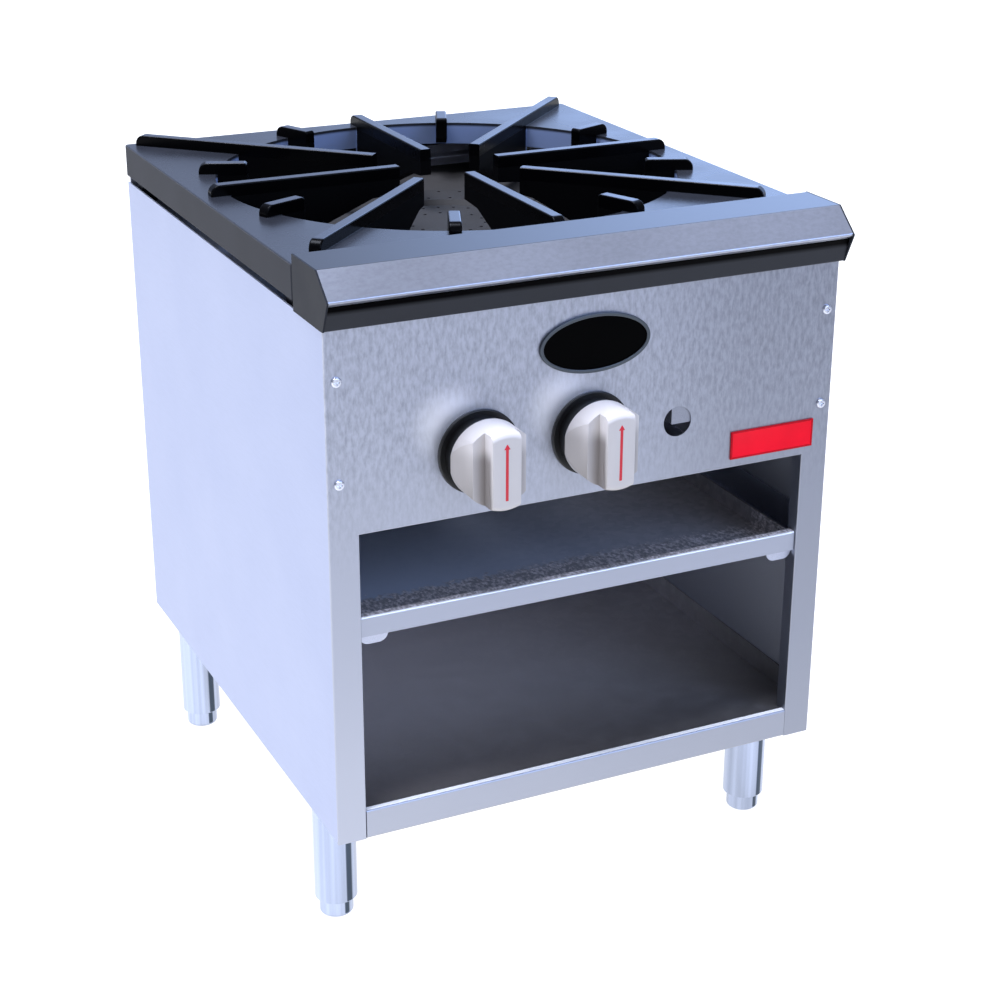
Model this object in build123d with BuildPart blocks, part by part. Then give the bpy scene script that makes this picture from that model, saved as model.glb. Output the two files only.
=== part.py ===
from build123d import *
import os

# A single-burner stock pot range: a steel cabinet on four adjustable legs, a ring burner fed by two
# valves, a cast-iron top grate that lifts off, and a crumb tray that slides out of the front.
#
# Frame, in millimetres: X to the right, Y to the back, Z up. The origin is on the floor, under the
# middle of the whole range, knobs and rear gas pipe included.

# ---------------------------------------------------------------- driving dimensions
WIDTH = 457.2            # over the side panels, 18 in
DEPTH = 511.6            # from the front panel's face to the back
BODY_BOTTOM = 108.0      # underside of the cabinet, on 4 in legs
BODY_TOP = 550.0         # top of the side panels
SEAT_TOP = 538.0         # their turned-in flanges, which the grate stands on
SHEET = 1.5              # cabinet sheet
BEND = 2.0               # outside radius of a bend in it
GAP = 0.3                # clearance between a moving piece and its neighbours
FIT = 0.05               # running fit of a shaft, on the radius

KNOB_REACH = 52.0        # knob face, forward of the front panel
INLET_REACH = 40.0       # gas pipe, behind the back

BAY_HALF = 203.2         # half width of the opening in the front
BAY_TOP = 381.1
RAIL_TOP = 134.4         # bottom rail under the opening
PANEL_TOP = 550.3        # front panel, up to the ledge

LEDGE_TOP = 595.0
NOSE_REACH = 16.4        # ledge nose, forward of the front panel
NOSE_HEIGHT = 575.0

DECK_HALF = 230.6        # top grate, half width
DECK_FRONT = 57.0        # depths of its front and back edges
DECK_BACK = 508.3
DECK_TOP = 586.5
DECK_BOTTOM = 557.8
FINGER_TOP = 596.5
FINGER_WIDTH = 10.4
GRATE_RADIUS = 205.0     # round opening in the deck
WALL = 6.0               # thickness of the casting

LEG_X = 207.0
LEG_DEPTHS = (67.3, 444.2)
LEG_RADIUS = 18.7
FOOT_RADIUS = 14.9
FOOT_HEIGHT = 16.4       # foot at rest, screwed fully in

KNOB_HEIGHT = 434.5
KNOB_X = {"left": -101.5, "right": -2.3}
KNOB_RADIUS = 32.5
SCREW_X = 219.0
SCREW_HEIGHTS = (425.7, 508.7)

TRAY_BOTTOM = 291.5
TRAY_TOP = 308.8
BURNER_DECK_TOP = 536.0
BURNER_BASE = 512.0
PIPE_RADIUS = 13.35      # 3/4 in gas pipe
PIPE_BORE = 10.5
PIPE_HEIGHT = 466.0

# ---------------------------------------------------------------- worked out from them
SIDE = WIDTH / 2
INNER = SIDE - SHEET                                  # inner face of a side panel
FRONT_Y = -(DEPTH + INLET_REACH - KNOB_REACH) / 2     # front panel's face
BURNER_DEPTH = (DECK_FRONT + DECK_BACK) / 2           # middle of the grate and burner


def at(depth):
    """Y of a point that lies this far behind the front panel's face."""
    return FRONT_Y + depth


def facing(depth):
    """Plane square to Y at this depth. It faces the front, so an extrusion comes forward from it."""
    return Plane.XZ.offset(-at(depth))


def across(x):
    """Plane square to X, with Y and Z as its own axes."""
    return Plane.YZ.offset(x)


def level(z):
    """Plane square to Z at this height."""
    return Plane.XY.offset(z)


def block(xs, depths, zs, mode=Mode.ADD):
    """A block between two limits each way: X, depth behind the front face, and Z."""
    middle = ((xs[0] + xs[1]) / 2, at((depths[0] + depths[1]) / 2), (zs[0] + zs[1]) / 2)
    with Locations(middle):
        Box(abs(xs[1] - xs[0]), depths[1] - depths[0], zs[1] - zs[0], mode=mode)


def bent_sheet(*points, radius=BEND):
    """Section of a bent sheet in the current sketch. The points are its outer side, and its
    thickness lies to the left of them."""
    with BuildLine() as outline:
        FilletPolyline(*points, radius=radius)
        offset(amount=SHEET, side=Side.LEFT)
    make_face(outline.edges())


def finish(part, name):
    """Label one piece and write it."""
    part.label = name
    export_step(part, f"parts/{name}.step")


os.makedirs("parts", exist_ok=True)
SIDES = {"left": -1, "right": 1}
ENDS = {"front": LEG_DEPTHS[0], "rear": LEG_DEPTHS[1]}

# ---------------------------------------------------------------- side panels
FLANGE = 20.0            # turned-in edge of a side panel
SILL = 78.0              # bottom flange, which carries the shelf and the legs
SHELF_TOP = RAIL_TOP - SHEET - 0.2
LEG_SCREWS = [(x, y) for x in (165.0, 217.0) for y in (-27.0, 27.0)]
REAR_SCREW_X = 216.0
REAR_SCREW_HEIGHTS = (170.0, 280.0, 390.0, 500.0)
SCREW_RADIUS = 2.4
SCREW_HOLE = SCREW_RADIUS + 0.1
STUD_RADIUS = 9.5

for name, side in SIDES.items():
    with BuildPart() as side_panel:
        # a channel open to the inside, whose bottom flange turns up again under the shelf
        section = [
            (side * (SIDE - FLANGE), SEAT_TOP),
            (side * SIDE, SEAT_TOP),
            (side * SIDE, BODY_BOTTOM),
            (side * (SIDE - SILL), BODY_BOTTOM),
            (side * (SIDE - SILL), SHELF_TOP - SHEET),
        ]
        with BuildSketch(facing(DEPTH)):
            # the thickness lies inside: left of the points on one side, right on the other
            with BuildLine():
                FilletPolyline(*section, radius=BEND)
                offset(amount=SHEET, side=Side.RIGHT if side > 0 else Side.LEFT)
            make_face()
        extrude(amount=DEPTH - SHEET)
        # the bottom flange stops behind the front rail, and its lip in front of the back panel
        sill = (side * (SIDE - SILL - 1), side * (BAY_HALF + 3))
        block(sill, (SHEET, 24), (BODY_BOTTOM - 1, RAIL_TOP), Mode.SUBTRACT)
        block(sill, (DEPTH - 2 * SHEET - 0.2, DEPTH), (BODY_BOTTOM + SHEET, RAIL_TOP), Mode.SUBTRACT)
        # its top flange stops in front of the back panel, and the wall stands up round it
        inside = (side * (SIDE - FLANGE), side * INNER)
        block(inside, (DEPTH - 2 * SHEET - 0.2, DEPTH), (SEAT_TOP - 2 * SHEET, SEAT_TOP), Mode.SUBTRACT)
        block((side * INNER, side * SIDE), (SHEET, DEPTH), (SEAT_TOP - BEND, BODY_TOP))
        block(inside, (SHEET, 2 * SHEET), (BODY_BOTTOM + SHEET, SEAT_TOP - SHEET))
        block(inside, (DEPTH - SHEET, DEPTH), (BODY_BOTTOM + SHEET, SEAT_TOP - SHEET))
        with BuildSketch(facing(2 * SHEET)):
            with Locations(*[(side * SCREW_X, z) for z in SCREW_HEIGHTS]):
                Circle(SCREW_HOLE)
        extrude(amount=2 * SHEET, mode=Mode.SUBTRACT)
        with BuildSketch(facing(DEPTH)):
            with Locations(*[(side * REAR_SCREW_X, z) for z in REAR_SCREW_HEIGHTS]):
                Circle(SCREW_HOLE)
        extrude(amount=SHEET, mode=Mode.SUBTRACT)
        for depth in LEG_DEPTHS:
            with BuildSketch(level(BODY_BOTTOM)):
                with Locations((side * LEG_X, at(depth))):
                    Circle(STUD_RADIUS + FIT)
                with Locations(*[(side * x, at(depth) + y) for x, y in LEG_SCREWS]):
                    Circle(SCREW_HOLE)
            extrude(amount=SHEET, mode=Mode.SUBTRACT)
    finish(side_panel.part, f"side_panel_{name}")

# ---------------------------------------------------------------- front panel and bottom rail
RETURN = 14.0            # depth of the edges turned back round the opening
SIGHT_HOLE = (78.8, 431.0)
SIGHT_RADIUS = 13.0
STEM_RADIUS = 4.0

with BuildPart() as front_panel:
    with BuildSketch(facing(SHEET)):
        with Locations((0, (BODY_BOTTOM + PANEL_TOP) / 2)):
            Rectangle(WIDTH, PANEL_TOP - BODY_BOTTOM)
        with Locations((0, (BODY_BOTTOM + BAY_TOP) / 2)):
            Rectangle(2 * BAY_HALF, BAY_TOP - BODY_BOTTOM, mode=Mode.SUBTRACT)
        with Locations(SIGHT_HOLE):
            Circle(SIGHT_RADIUS, mode=Mode.SUBTRACT)
        with Locations(*[(x, KNOB_HEIGHT) for x in KNOB_X.values()]):
            Circle(STEM_RADIUS + 2, mode=Mode.SUBTRACT)
        with Locations(*[(s * SCREW_X, z) for s in (-1, 1) for z in SCREW_HEIGHTS]):
            Circle(SCREW_HOLE, mode=Mode.SUBTRACT)
    extrude(amount=SHEET)
    for side in (-1, 1):
        edge = (side * BAY_HALF, side * (BAY_HALF + SHEET))
        block(edge, (SHEET, RETURN), (BODY_BOTTOM, BAY_TOP + SHEET))
    block((-BAY_HALF, BAY_HALF), (SHEET, RETURN), (BAY_TOP, BAY_TOP + SHEET))
    block((-INNER + FLANGE, INNER - FLANGE), (SHEET, 25), (PANEL_TOP - SHEET, PANEL_TOP))
    # the bends round the opening and the two outer corners show as soft edges
    front_edges = front_panel.edges().filter_by(Plane.XZ).group_by(Axis.Y)[0].filter_by(GeomType.LINE)
    lower_edges = front_edges.sort_by(Axis.Z)[:2]
    fillet(front_edges - lower_edges, SHEET * 0.8)
finish(front_panel.part, "front_panel")

with BuildPart() as bottom_rail:
    with BuildSketch(across(-BAY_HALF + 0.2)):
        bent_sheet(
            (at(5.5), RAIL_TOP),
            (at(0), RAIL_TOP),
            (at(0), BODY_BOTTOM),
            (at(22), BODY_BOTTOM),
        )
    extrude(amount=2 * (BAY_HALF - 0.2))
finish(bottom_rail.part, "bottom_rail")

# ---------------------------------------------------------------- bottom shelf and back panel
SHELF_EDGE = 20.0        # height of its turned-up sides
SHELF_HALF = INNER - 0.2
SHELF_BACK = DEPTH - 3.2
BACK_FRONT_FACE = DEPTH - 2 * SHEET
BACK_TOP = 564.0         # the back panel overlaps the grate's skirt from behind

with BuildPart() as bottom_shelf:
    floor_level = (SHELF_TOP - SHEET, SHELF_TOP)
    edge_level = (SHELF_TOP, SHELF_TOP + SHELF_EDGE)
    block((-BAY_HALF + 0.4, BAY_HALF - 0.4), (3.4, RETURN + 0.5), floor_level)
    block((-SHELF_HALF, SHELF_HALF), (RETURN + 0.5, SHELF_BACK), floor_level)
    for side in (-1, 1):
        block((side * (SHELF_HALF - SHEET), side * SHELF_HALF), (RETURN + 0.5, SHELF_BACK), edge_level)
    block((-SHELF_HALF, SHELF_HALF), (SHELF_BACK - SHEET, SHELF_BACK), edge_level)
finish(bottom_shelf.part, "bottom_shelf")

SUPPLY_X = 185.0
with BuildPart() as back_panel:
    with BuildSketch(facing(DEPTH - SHEET)):
        lowest = BODY_BOTTOM + SHEET + 0.2
        with Locations((0, (lowest + BACK_TOP) / 2)):
            Rectangle(2 * SHELF_HALF, BACK_TOP - lowest)
        with Locations((SUPPLY_X, PIPE_HEIGHT)):
            Circle(PIPE_RADIUS + 2, mode=Mode.SUBTRACT)
        with Locations(*[(s * REAR_SCREW_X, z) for s in (-1, 1) for z in REAR_SCREW_HEIGHTS]):
            Circle(SCREW_HOLE, mode=Mode.SUBTRACT)
    extrude(amount=SHEET)
    top_edge = (BODY_TOP - 2 * SHEET - 0.2, BODY_TOP - SHEET - 0.2)
    block((-SIDE + FLANGE + 2, SIDE - FLANGE - 2), (DEPTH - 22, BACK_FRONT_FACE), top_edge)
finish(back_panel.part, "back_panel")

# ---------------------------------------------------------------- crumb tray and its runners
TRAY_HALF = 200.6
TRAY_BACK = 500.0
TRAY_SHEET = 1.2
LIP_FRONT = 2.5          # depth of the lip's face
LIP_DEPTH = 9.0
RUNNER_WALL_TOP = 318.6

with BuildPart() as crumb_tray:
    with BuildSketch(across(-BAY_HALF + 0.4)):
        # front lip: face, top and a short edge turned down behind
        with BuildLine():
            FilletPolyline(
                (at(LIP_FRONT), TRAY_BOTTOM),
                (at(LIP_FRONT), TRAY_TOP),
                (at(LIP_FRONT + LIP_DEPTH), TRAY_TOP),
                (at(LIP_FRONT + LIP_DEPTH), TRAY_TOP - 6),
                radius=BEND,
            )
            offset(amount=TRAY_SHEET, side=Side.RIGHT)
        make_face()
    extrude(amount=2 * (BAY_HALF - 0.4))
    inner_front = LIP_FRONT + TRAY_SHEET
    block((-TRAY_HALF, TRAY_HALF), (inner_front, TRAY_BACK), (TRAY_BOTTOM, TRAY_BOTTOM + TRAY_SHEET))
    walls = (TRAY_BOTTOM, TRAY_TOP - TRAY_SHEET)
    for side in (-1, 1):
        block((side * (TRAY_HALF - TRAY_SHEET), side * TRAY_HALF), (inner_front, TRAY_BACK), walls)
    block((-TRAY_HALF, TRAY_HALF), (TRAY_BACK - TRAY_SHEET, TRAY_BACK), walls)
finish(crumb_tray.part, "crumb_tray")

TAB_RADIUS = 8.0
TAB_DEPTH = 7.0
for name, side in SIDES.items():
    with BuildPart() as runner:
        shelf = (TRAY_BOTTOM - GAP - SHEET, TRAY_BOTTOM - GAP)
        block((side * 180, side * INNER), (RETURN + 1, TRAY_BACK), shelf)
        block((side * (INNER - SHEET), side * INNER), (RETURN + 1, TRAY_BACK), (shelf[0], RUNNER_WALL_TOP))
        block((side * 178, side * (BAY_HALF - 0.3)), (TAB_DEPTH, RETURN + 1), shelf)
        # rounded tab at the front, under the lip
        with BuildSketch(facing(TAB_DEPTH + SHEET)):
            with Locations((side * (178 + BAY_HALF - 0.3) / 2, shelf[0] - 1.2)):
                tab = Rectangle(BAY_HALF - 0.3 - 178, 12)
            fillet(tab.vertices().group_by(Axis.Y)[0], TAB_RADIUS)
            with Locations((0, TRAY_BOTTOM - GAP + 10)):
                Rectangle(WIDTH, 20, mode=Mode.SUBTRACT)
        extrude(amount=SHEET)
    finish(runner.part, f"tray_runner_{name}")

# ---------------------------------------------------------------- front ledge
LEDGE_BACK = 56.2
LEDGE_CREST = 6.5        # depth where the flat top meets the slope
TRIM_FOOT = -5.3         # depth of the dark strip's lower edge

with BuildPart() as front_ledge:
    with BuildSketch(across(-DECK_HALF + SHEET)):
        bent_sheet(
            (at(LEDGE_BACK), 571),
            (at(LEDGE_BACK), LEDGE_TOP),
            (at(LEDGE_CREST), LEDGE_TOP),
            (at(-NOSE_REACH), NOSE_HEIGHT),
            (at(-NOSE_REACH + 4.5), NOSE_HEIGHT - 3.6),
            radius=1.8,
        )
    extrude(amount=2 * (DECK_HALF - SHEET))
finish(front_ledge.part, "front_ledge")

with BuildPart() as ledge_trim:
    with BuildSketch(across(-DECK_HALF + SHEET)):
        bent_sheet(
            (at(-NOSE_REACH + 5.2), 570.6),
            (at(TRIM_FOOT), PANEL_TOP),
            (at(24), PANEL_TOP),
            radius=BEND,
        )
    extrude(amount=2 * (DECK_HALF - SHEET))
finish(ledge_trim.part, "ledge_trim")

for name, side in SIDES.items():
    with BuildPart() as ledge_end:
        with BuildSketch(across(side * DECK_HALF)):
            with BuildLine():
                Polyline(
                    (at(LEDGE_BACK), LEDGE_TOP),
                    (at(LEDGE_CREST), LEDGE_TOP),
                    (at(-NOSE_REACH), NOSE_HEIGHT),
                    (at(TRIM_FOOT), PANEL_TOP),
                    (at(0), BODY_TOP),
                    (at(LEDGE_BACK), BODY_TOP),
                    close=True,
                )
            make_face()
        extrude(amount=-side * SHEET)
    finish(ledge_end.part, f"ledge_end_{name}")

# ---------------------------------------------------------------- top grate
COLLAR_BOTTOM = 566.0
WEB_BOTTOM = 550.0
AXIS_REACH = (48.0, 221.0)        # inner and outer end of a finger on an axis
FRONT_DIAGONAL_REACH = (70.0, 288.0)
REAR_DIAGONAL_REACH = (70.0, 310.0)
LUG_REACH = (177.0, 220.0)
END_ROUND = 8.0                   # rounded top of an outer end
TIP_DEPTH = 24.0                  # depth of a finger's inner end
EDGE_ROUND = 1.4


def finger(reach, web_end):
    """One long finger along +X from the middle of the grate: a bar on the deck, with a web below it
    that deepens from the inner end to the collar."""
    inner, outer = reach
    flat_end = max(inner + 12, 74)
    with BuildPart() as bar:
        with BuildSketch(Plane.XZ.offset(-FINGER_WIDTH / 2)):
            with BuildLine():
                Polyline(
                    (inner, FINGER_TOP),
                    (inner, FINGER_TOP - TIP_DEPTH),
                    (flat_end, FINGER_TOP - TIP_DEPTH - 2),
                    (124, WEB_BOTTOM),
                    (web_end, WEB_BOTTOM),
                    (web_end, DECK_TOP - 1),
                    (outer, DECK_TOP - 1),
                    (outer, FINGER_TOP),
                    close=True,
                )
            make_face()
        extrude(amount=FINGER_WIDTH)
        end_corner = bar.edges().filter_by(Axis.Y).group_by(Axis.X)[-1].sort_by(Axis.Z)[-1]
        fillet(end_corner, END_ROUND)
        crown = bar.faces().sort_by(Axis.Z)[-1]
        fillet(crown.edges().filter_by(Axis.X), EDGE_ROUND)
    return bar.part


def lug():
    """One short lug along +X, which stands across the rim of the round opening."""
    inner, outer = LUG_REACH
    with BuildPart() as bar:
        with BuildSketch(Plane.XZ.offset(-FINGER_WIDTH / 2)):
            with BuildLine():
                Polyline(
                    (inner, FINGER_TOP),
                    (inner, FINGER_TOP - 20),
                    (GRATE_RADIUS + 2, COLLAR_BOTTOM),
                    (GRATE_RADIUS + 2, DECK_TOP - 1),
                    (outer, DECK_TOP - 1),
                    (outer, FINGER_TOP),
                    close=True,
                )
            make_face()
        extrude(amount=FINGER_WIDTH)
        corners = bar.edges().filter_by(Axis.Y).group_by(Axis.Z)[-1].sort_by(Axis.X)
        fillet(corners[-1], END_ROUND)
        inner_corner = bar.edges().filter_by(Axis.Y).group_by(Axis.Z)[-1].sort_by(Axis.X)[0]
        fillet(inner_corner, 3)
        crown = bar.faces().sort_by(Axis.Z)[-1]
        fillet(crown.edges().filter_by(Axis.X), EDGE_ROUND)
    return bar.part


axis_finger = finger(AXIS_REACH, GRATE_RADIUS + 10)
front_diagonal = finger(FRONT_DIAGONAL_REACH, GRATE_RADIUS + 10)
rear_diagonal = finger(REAR_DIAGONAL_REACH, GRATE_RADIUS + 10)
rim_lug = lug()
DECK_DEPTH = DECK_BACK - DECK_FRONT
PAD = 14.0               # corner pads, which stand on the side panels' top flanges

with BuildPart() as top_grate:
    with BuildSketch(level(DECK_BOTTOM)):
        with Locations((0, at(BURNER_DEPTH))):
            RectangleRounded(2 * DECK_HALF, DECK_DEPTH, 3)
    extrude(amount=DECK_TOP - DECK_BOTTOM)
    fillet(top_grate.faces().sort_by(Axis.Z)[-1].edges(), EDGE_ROUND)
    # hollow below the deck, but for the collar round the opening
    with BuildSketch(level(DECK_BOTTOM)):
        with Locations((0, at(BURNER_DEPTH))):
            Rectangle(2 * (DECK_HALF - WALL), DECK_DEPTH - 2 * WALL)
    extrude(amount=DECK_TOP - WALL - DECK_BOTTOM, mode=Mode.SUBTRACT)
    with BuildSketch(level(COLLAR_BOTTOM)):
        with Locations((0, at(BURNER_DEPTH))):
            Circle(GRATE_RADIUS + WALL)
    extrude(amount=DECK_TOP - WALL - COLLAR_BOTTOM)
    with BuildSketch(level(COLLAR_BOTTOM)):
        with Locations((0, at(BURNER_DEPTH))):
            Circle(GRATE_RADIUS)
    extrude(amount=DECK_TOP - COLLAR_BOTTOM, mode=Mode.SUBTRACT)
    with Locations((0, at(BURNER_DEPTH))):
        with PolarLocations(0, 4):
            add(axis_finger)
        with PolarLocations(0, 2, start_angle=45, angular_range=180):
            add(rear_diagonal)
        with PolarLocations(0, 2, start_angle=225, angular_range=180):
            add(front_diagonal)
        with PolarLocations(0, 8, start_angle=22.5):
            add(rim_lug)
    for side in (-1, 1):
        for depth in (DECK_FRONT + 24, DECK_BACK - 24):
            pad_x = side * (DECK_HALF - WALL - PAD / 2)
            pad_across = (pad_x - PAD / 2, pad_x + PAD / 2)
            block(pad_across, (depth - PAD / 2, depth + PAD / 2), (SEAT_TOP, DECK_TOP - WALL / 2))
finish(top_grate.part, "top_grate")

# ---------------------------------------------------------------- burner deck and burner bars
DECK_HOLE = 130.0
PILOT = (15.0, 145.0)    # X and depth of the pilot burner, behind the front finger
PILOT_RADIUS = 5.0

with BuildPart() as burner_deck:
    with BuildSketch(facing(506)):
        bent_sheet(
            (SHELF_HALF, BURNER_DECK_TOP - 21),
            (SHELF_HALF, BURNER_DECK_TOP),
            (-SHELF_HALF, BURNER_DECK_TOP),
            (-SHELF_HALF, BURNER_DECK_TOP - 21),
        )
    extrude(amount=506 - 22)
    with BuildSketch(level(BURNER_DECK_TOP - 2 * SHEET)):
        with Locations((0, at(BURNER_DEPTH))):
            Circle(DECK_HOLE)
        with Locations((PILOT[0], at(PILOT[1]))):
            Circle(PILOT_RADIUS + 1)
    extrude(amount=4 * SHEET, mode=Mode.SUBTRACT)
finish(burner_deck.part, "burner_deck")

BAR_SPREAD = 95.0        # each bar's distance from the middle of the burner
BAR_WALL = 3.0
for name, direction in {"front": -1, "rear": 1}.items():
    with BuildPart() as burner_bar:
        depth = BURNER_DEPTH + direction * BAR_SPREAD
        block((-INNER, INNER), (depth - 10, depth + 10), (BURNER_BASE - BAR_WALL, BURNER_BASE))
        block((-INNER, INNER), (depth + 7, depth + 10), (BURNER_BASE - 20, BURNER_BASE - BAR_WALL))
    finish(burner_bar.part, f"burner_bar_{name}")

# ---------------------------------------------------------------- burners with their mixing tubes
OUTER_RING = (78.0, 126.0)
INNER_HEAD = 66.0
BURNER_TOP = 540.0
BEVEL = 5.0
MIXER_DEPTH = 88.0       # face of a mixing tube
TUBE_RADIUS = 19.0
TUBE_WALL = 4.0
ELBOW_RADIUS = 50.0
HUB_RADIUS = 11.0
WINDOW_RADIUS = 6.5
WINDOW_CIRCLE = 18.5
PORT_RADIUS = 1.6


def mixing_tube(x, riser_depth):
    """A cast mixing tube: a face with three air windows and a hub, a throat, a straight run to the
    back, and an elbow up into the burner."""
    bend_depth = riser_depth - ELBOW_RADIUS
    bore = TUBE_RADIUS - TUBE_WALL
    # section of the wall above the axis, as depth and radius
    profile = [
        (MIXER_DEPTH - 3.5, 6.5),
        (MIXER_DEPTH + TUBE_WALL, 6.5),
        (MIXER_DEPTH + TUBE_WALL, 26),
        (135, 11),
        (200, bore),
        (bend_depth, bore),
        (bend_depth, TUBE_RADIUS),
        (200, TUBE_RADIUS),
        (135, 15),
        (MIXER_DEPTH + 6, 30),
        (MIXER_DEPTH, 30),
        (MIXER_DEPTH, HUB_RADIUS),
        (MIXER_DEPTH - 3.5, HUB_RADIUS),
    ]
    with BuildPart() as tube:
        with BuildSketch(across(x)):
            with BuildLine():
                Polyline(*[(at(depth), KNOB_HEIGHT + radius) for depth, radius in profile], close=True)
            make_face()
        revolve(axis=Axis((x, 0, KNOB_HEIGHT), (0, 1, 0)))
        with BuildSketch(facing(MIXER_DEPTH + TUBE_WALL)):
            with Locations((x, KNOB_HEIGHT)):
                with PolarLocations(WINDOW_CIRCLE, 3, start_angle=90):
                    Circle(WINDOW_RADIUS)
        extrude(amount=TUBE_WALL, mode=Mode.SUBTRACT)
        start = (x, at(bend_depth), KNOB_HEIGHT)
        turn = (x, at(riser_depth), KNOB_HEIGHT + ELBOW_RADIUS)
        with BuildLine() as route:
            elbow = TangentArc(start, turn, tangent=(0, 1, 0))
            Line(elbow @ 1, (x, at(riser_depth), BURNER_BASE + 2))
        with BuildSketch(Plane(origin=start, z_dir=(0, 1, 0))):
            Circle(TUBE_RADIUS)
        sweep(path=route.wires()[0])
    return tube.part


with BuildPart() as outer_burner:
    with BuildSketch(Plane.YZ):
        inner, outer = OUTER_RING
        with BuildLine():
            Polyline(
                (at(BURNER_DEPTH) + inner, BURNER_BASE),
                (at(BURNER_DEPTH) + outer, BURNER_BASE),
                (at(BURNER_DEPTH) + outer, BURNER_TOP - BEVEL),
                (at(BURNER_DEPTH) + outer - BEVEL, BURNER_TOP),
                (at(BURNER_DEPTH) + inner + BEVEL, BURNER_TOP),
                (at(BURNER_DEPTH) + inner, BURNER_TOP - BEVEL),
                close=True,
            )
        make_face()
    revolve(axis=Axis((0, at(BURNER_DEPTH), 0), (0, 0, 1)))
    # four arms that carry the inner burner
    with BuildSketch(level(BURNER_BASE)):
        with Locations((0, at(BURNER_DEPTH))):
            with PolarLocations((36 + inner + 4) / 2, 4, start_angle=45):
                Rectangle(inner + 4 - 36, 14)
    extrude(amount=7)
    with BuildSketch(level(BURNER_TOP - 6)):
        with Locations((0, at(BURNER_DEPTH))):
            with PolarLocations(inner + 12, 28):
                Circle(PORT_RADIUS)
            with PolarLocations(outer - 12, 36):
                Circle(PORT_RADIUS)
    extrude(amount=6, mode=Mode.SUBTRACT)
    add(mixing_tube(KNOB_X["left"], BURNER_DEPTH - 14))
finish(outer_burner.part, "outer_burner")

with BuildPart() as inner_burner:
    with BuildSketch(Plane.YZ):
        with BuildLine():
            Polyline(
                (at(BURNER_DEPTH), BURNER_BASE + 7),
                (at(BURNER_DEPTH) + INNER_HEAD, BURNER_BASE + 7),
                (at(BURNER_DEPTH) + INNER_HEAD, BURNER_TOP - BEVEL),
                (at(BURNER_DEPTH) + INNER_HEAD - BEVEL, BURNER_TOP),
                (at(BURNER_DEPTH), BURNER_TOP),
                close=True,
            )
        make_face()
    revolve(axis=Axis((0, at(BURNER_DEPTH), 0), (0, 0, 1)))
    with BuildSketch(level(BURNER_TOP - 6)):
        with Locations((0, at(BURNER_DEPTH))):
            with PolarLocations(INNER_HEAD - 12, 24):
                Circle(PORT_RADIUS)
            with PolarLocations(INNER_HEAD - 32, 14):
                Circle(PORT_RADIUS)
    extrude(amount=6, mode=Mode.SUBTRACT)
    add(mixing_tube(KNOB_X["right"], BURNER_DEPTH - 12))
    # the riser's last stretch, between the arms
    with BuildSketch(level(BURNER_BASE)):
        with Locations((KNOB_X["right"], at(BURNER_DEPTH - 12))):
            Circle(TUBE_RADIUS)
    extrude(amount=8)
finish(inner_burner.part, "inner_burner")

for name, x in {"outer": KNOB_X["left"], "inner": KNOB_X["right"]}.items():
    with BuildPart() as air_shutter:
        with BuildSketch(facing(MIXER_DEPTH - GAP)):
            with Locations((x, KNOB_HEIGHT)):
                Circle(28)
                Circle(HUB_RADIUS + FIT, mode=Mode.SUBTRACT)
                with PolarLocations(WINDOW_CIRCLE, 3, start_angle=90):
                    Circle(WINDOW_RADIUS, mode=Mode.SUBTRACT)
            # a short thumb tab at the top
            with Locations((x, KNOB_HEIGHT + 31)):
                Rectangle(9, 9)
        extrude(amount=1.5)
    finish(air_shutter.part, f"air_shutter_{name}")

# ---------------------------------------------------------------- gas train
PIPE_DEPTH = 37.4
VALVE_FRONT = 10.0
VALVE_BACK = 52.0
VALVE_RADIUS = 11.0
INLET_STUB = 7.0
MANIFOLD_ENDS = (-190.0, 163.0)
PILOT_VALVE_X = 40.0
TUBE_R = 3.0             # pilot tube

with BuildPart() as gas_manifold:
    with BuildSketch(across(MANIFOLD_ENDS[0])):
        with Locations((at(PIPE_DEPTH), PIPE_HEIGHT)):
            Circle(PIPE_RADIUS)
            Circle(PIPE_BORE, mode=Mode.SUBTRACT)
    extrude(amount=MANIFOLD_ENDS[1] - MANIFOLD_ENDS[0])
    with BuildSketch(level(PIPE_HEIGHT - 20)):
        with Locations(*[(x, at(PIPE_DEPTH)) for x in KNOB_X.values()]):
            Circle(INLET_STUB + FIT)
        with Locations((PILOT_VALVE_X, at(PIPE_DEPTH))):
            Circle(4 + FIT)
    extrude(amount=20, mode=Mode.SUBTRACT)
finish(gas_manifold.part, "gas_manifold")

with BuildPart() as manifold_cap:
    with BuildSketch(across(MANIFOLD_ENDS[0] - 6)):
        with Locations((at(PIPE_DEPTH), PIPE_HEIGHT)):
            RegularPolygon(19, 6)
    extrude(amount=18)
    with BuildSketch(across(MANIFOLD_ENDS[0])):
        with Locations((at(PIPE_DEPTH), PIPE_HEIGHT)):
            Circle(PIPE_RADIUS + FIT)
    extrude(amount=20, mode=Mode.SUBTRACT)
finish(manifold_cap.part, "manifold_cap")

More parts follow.
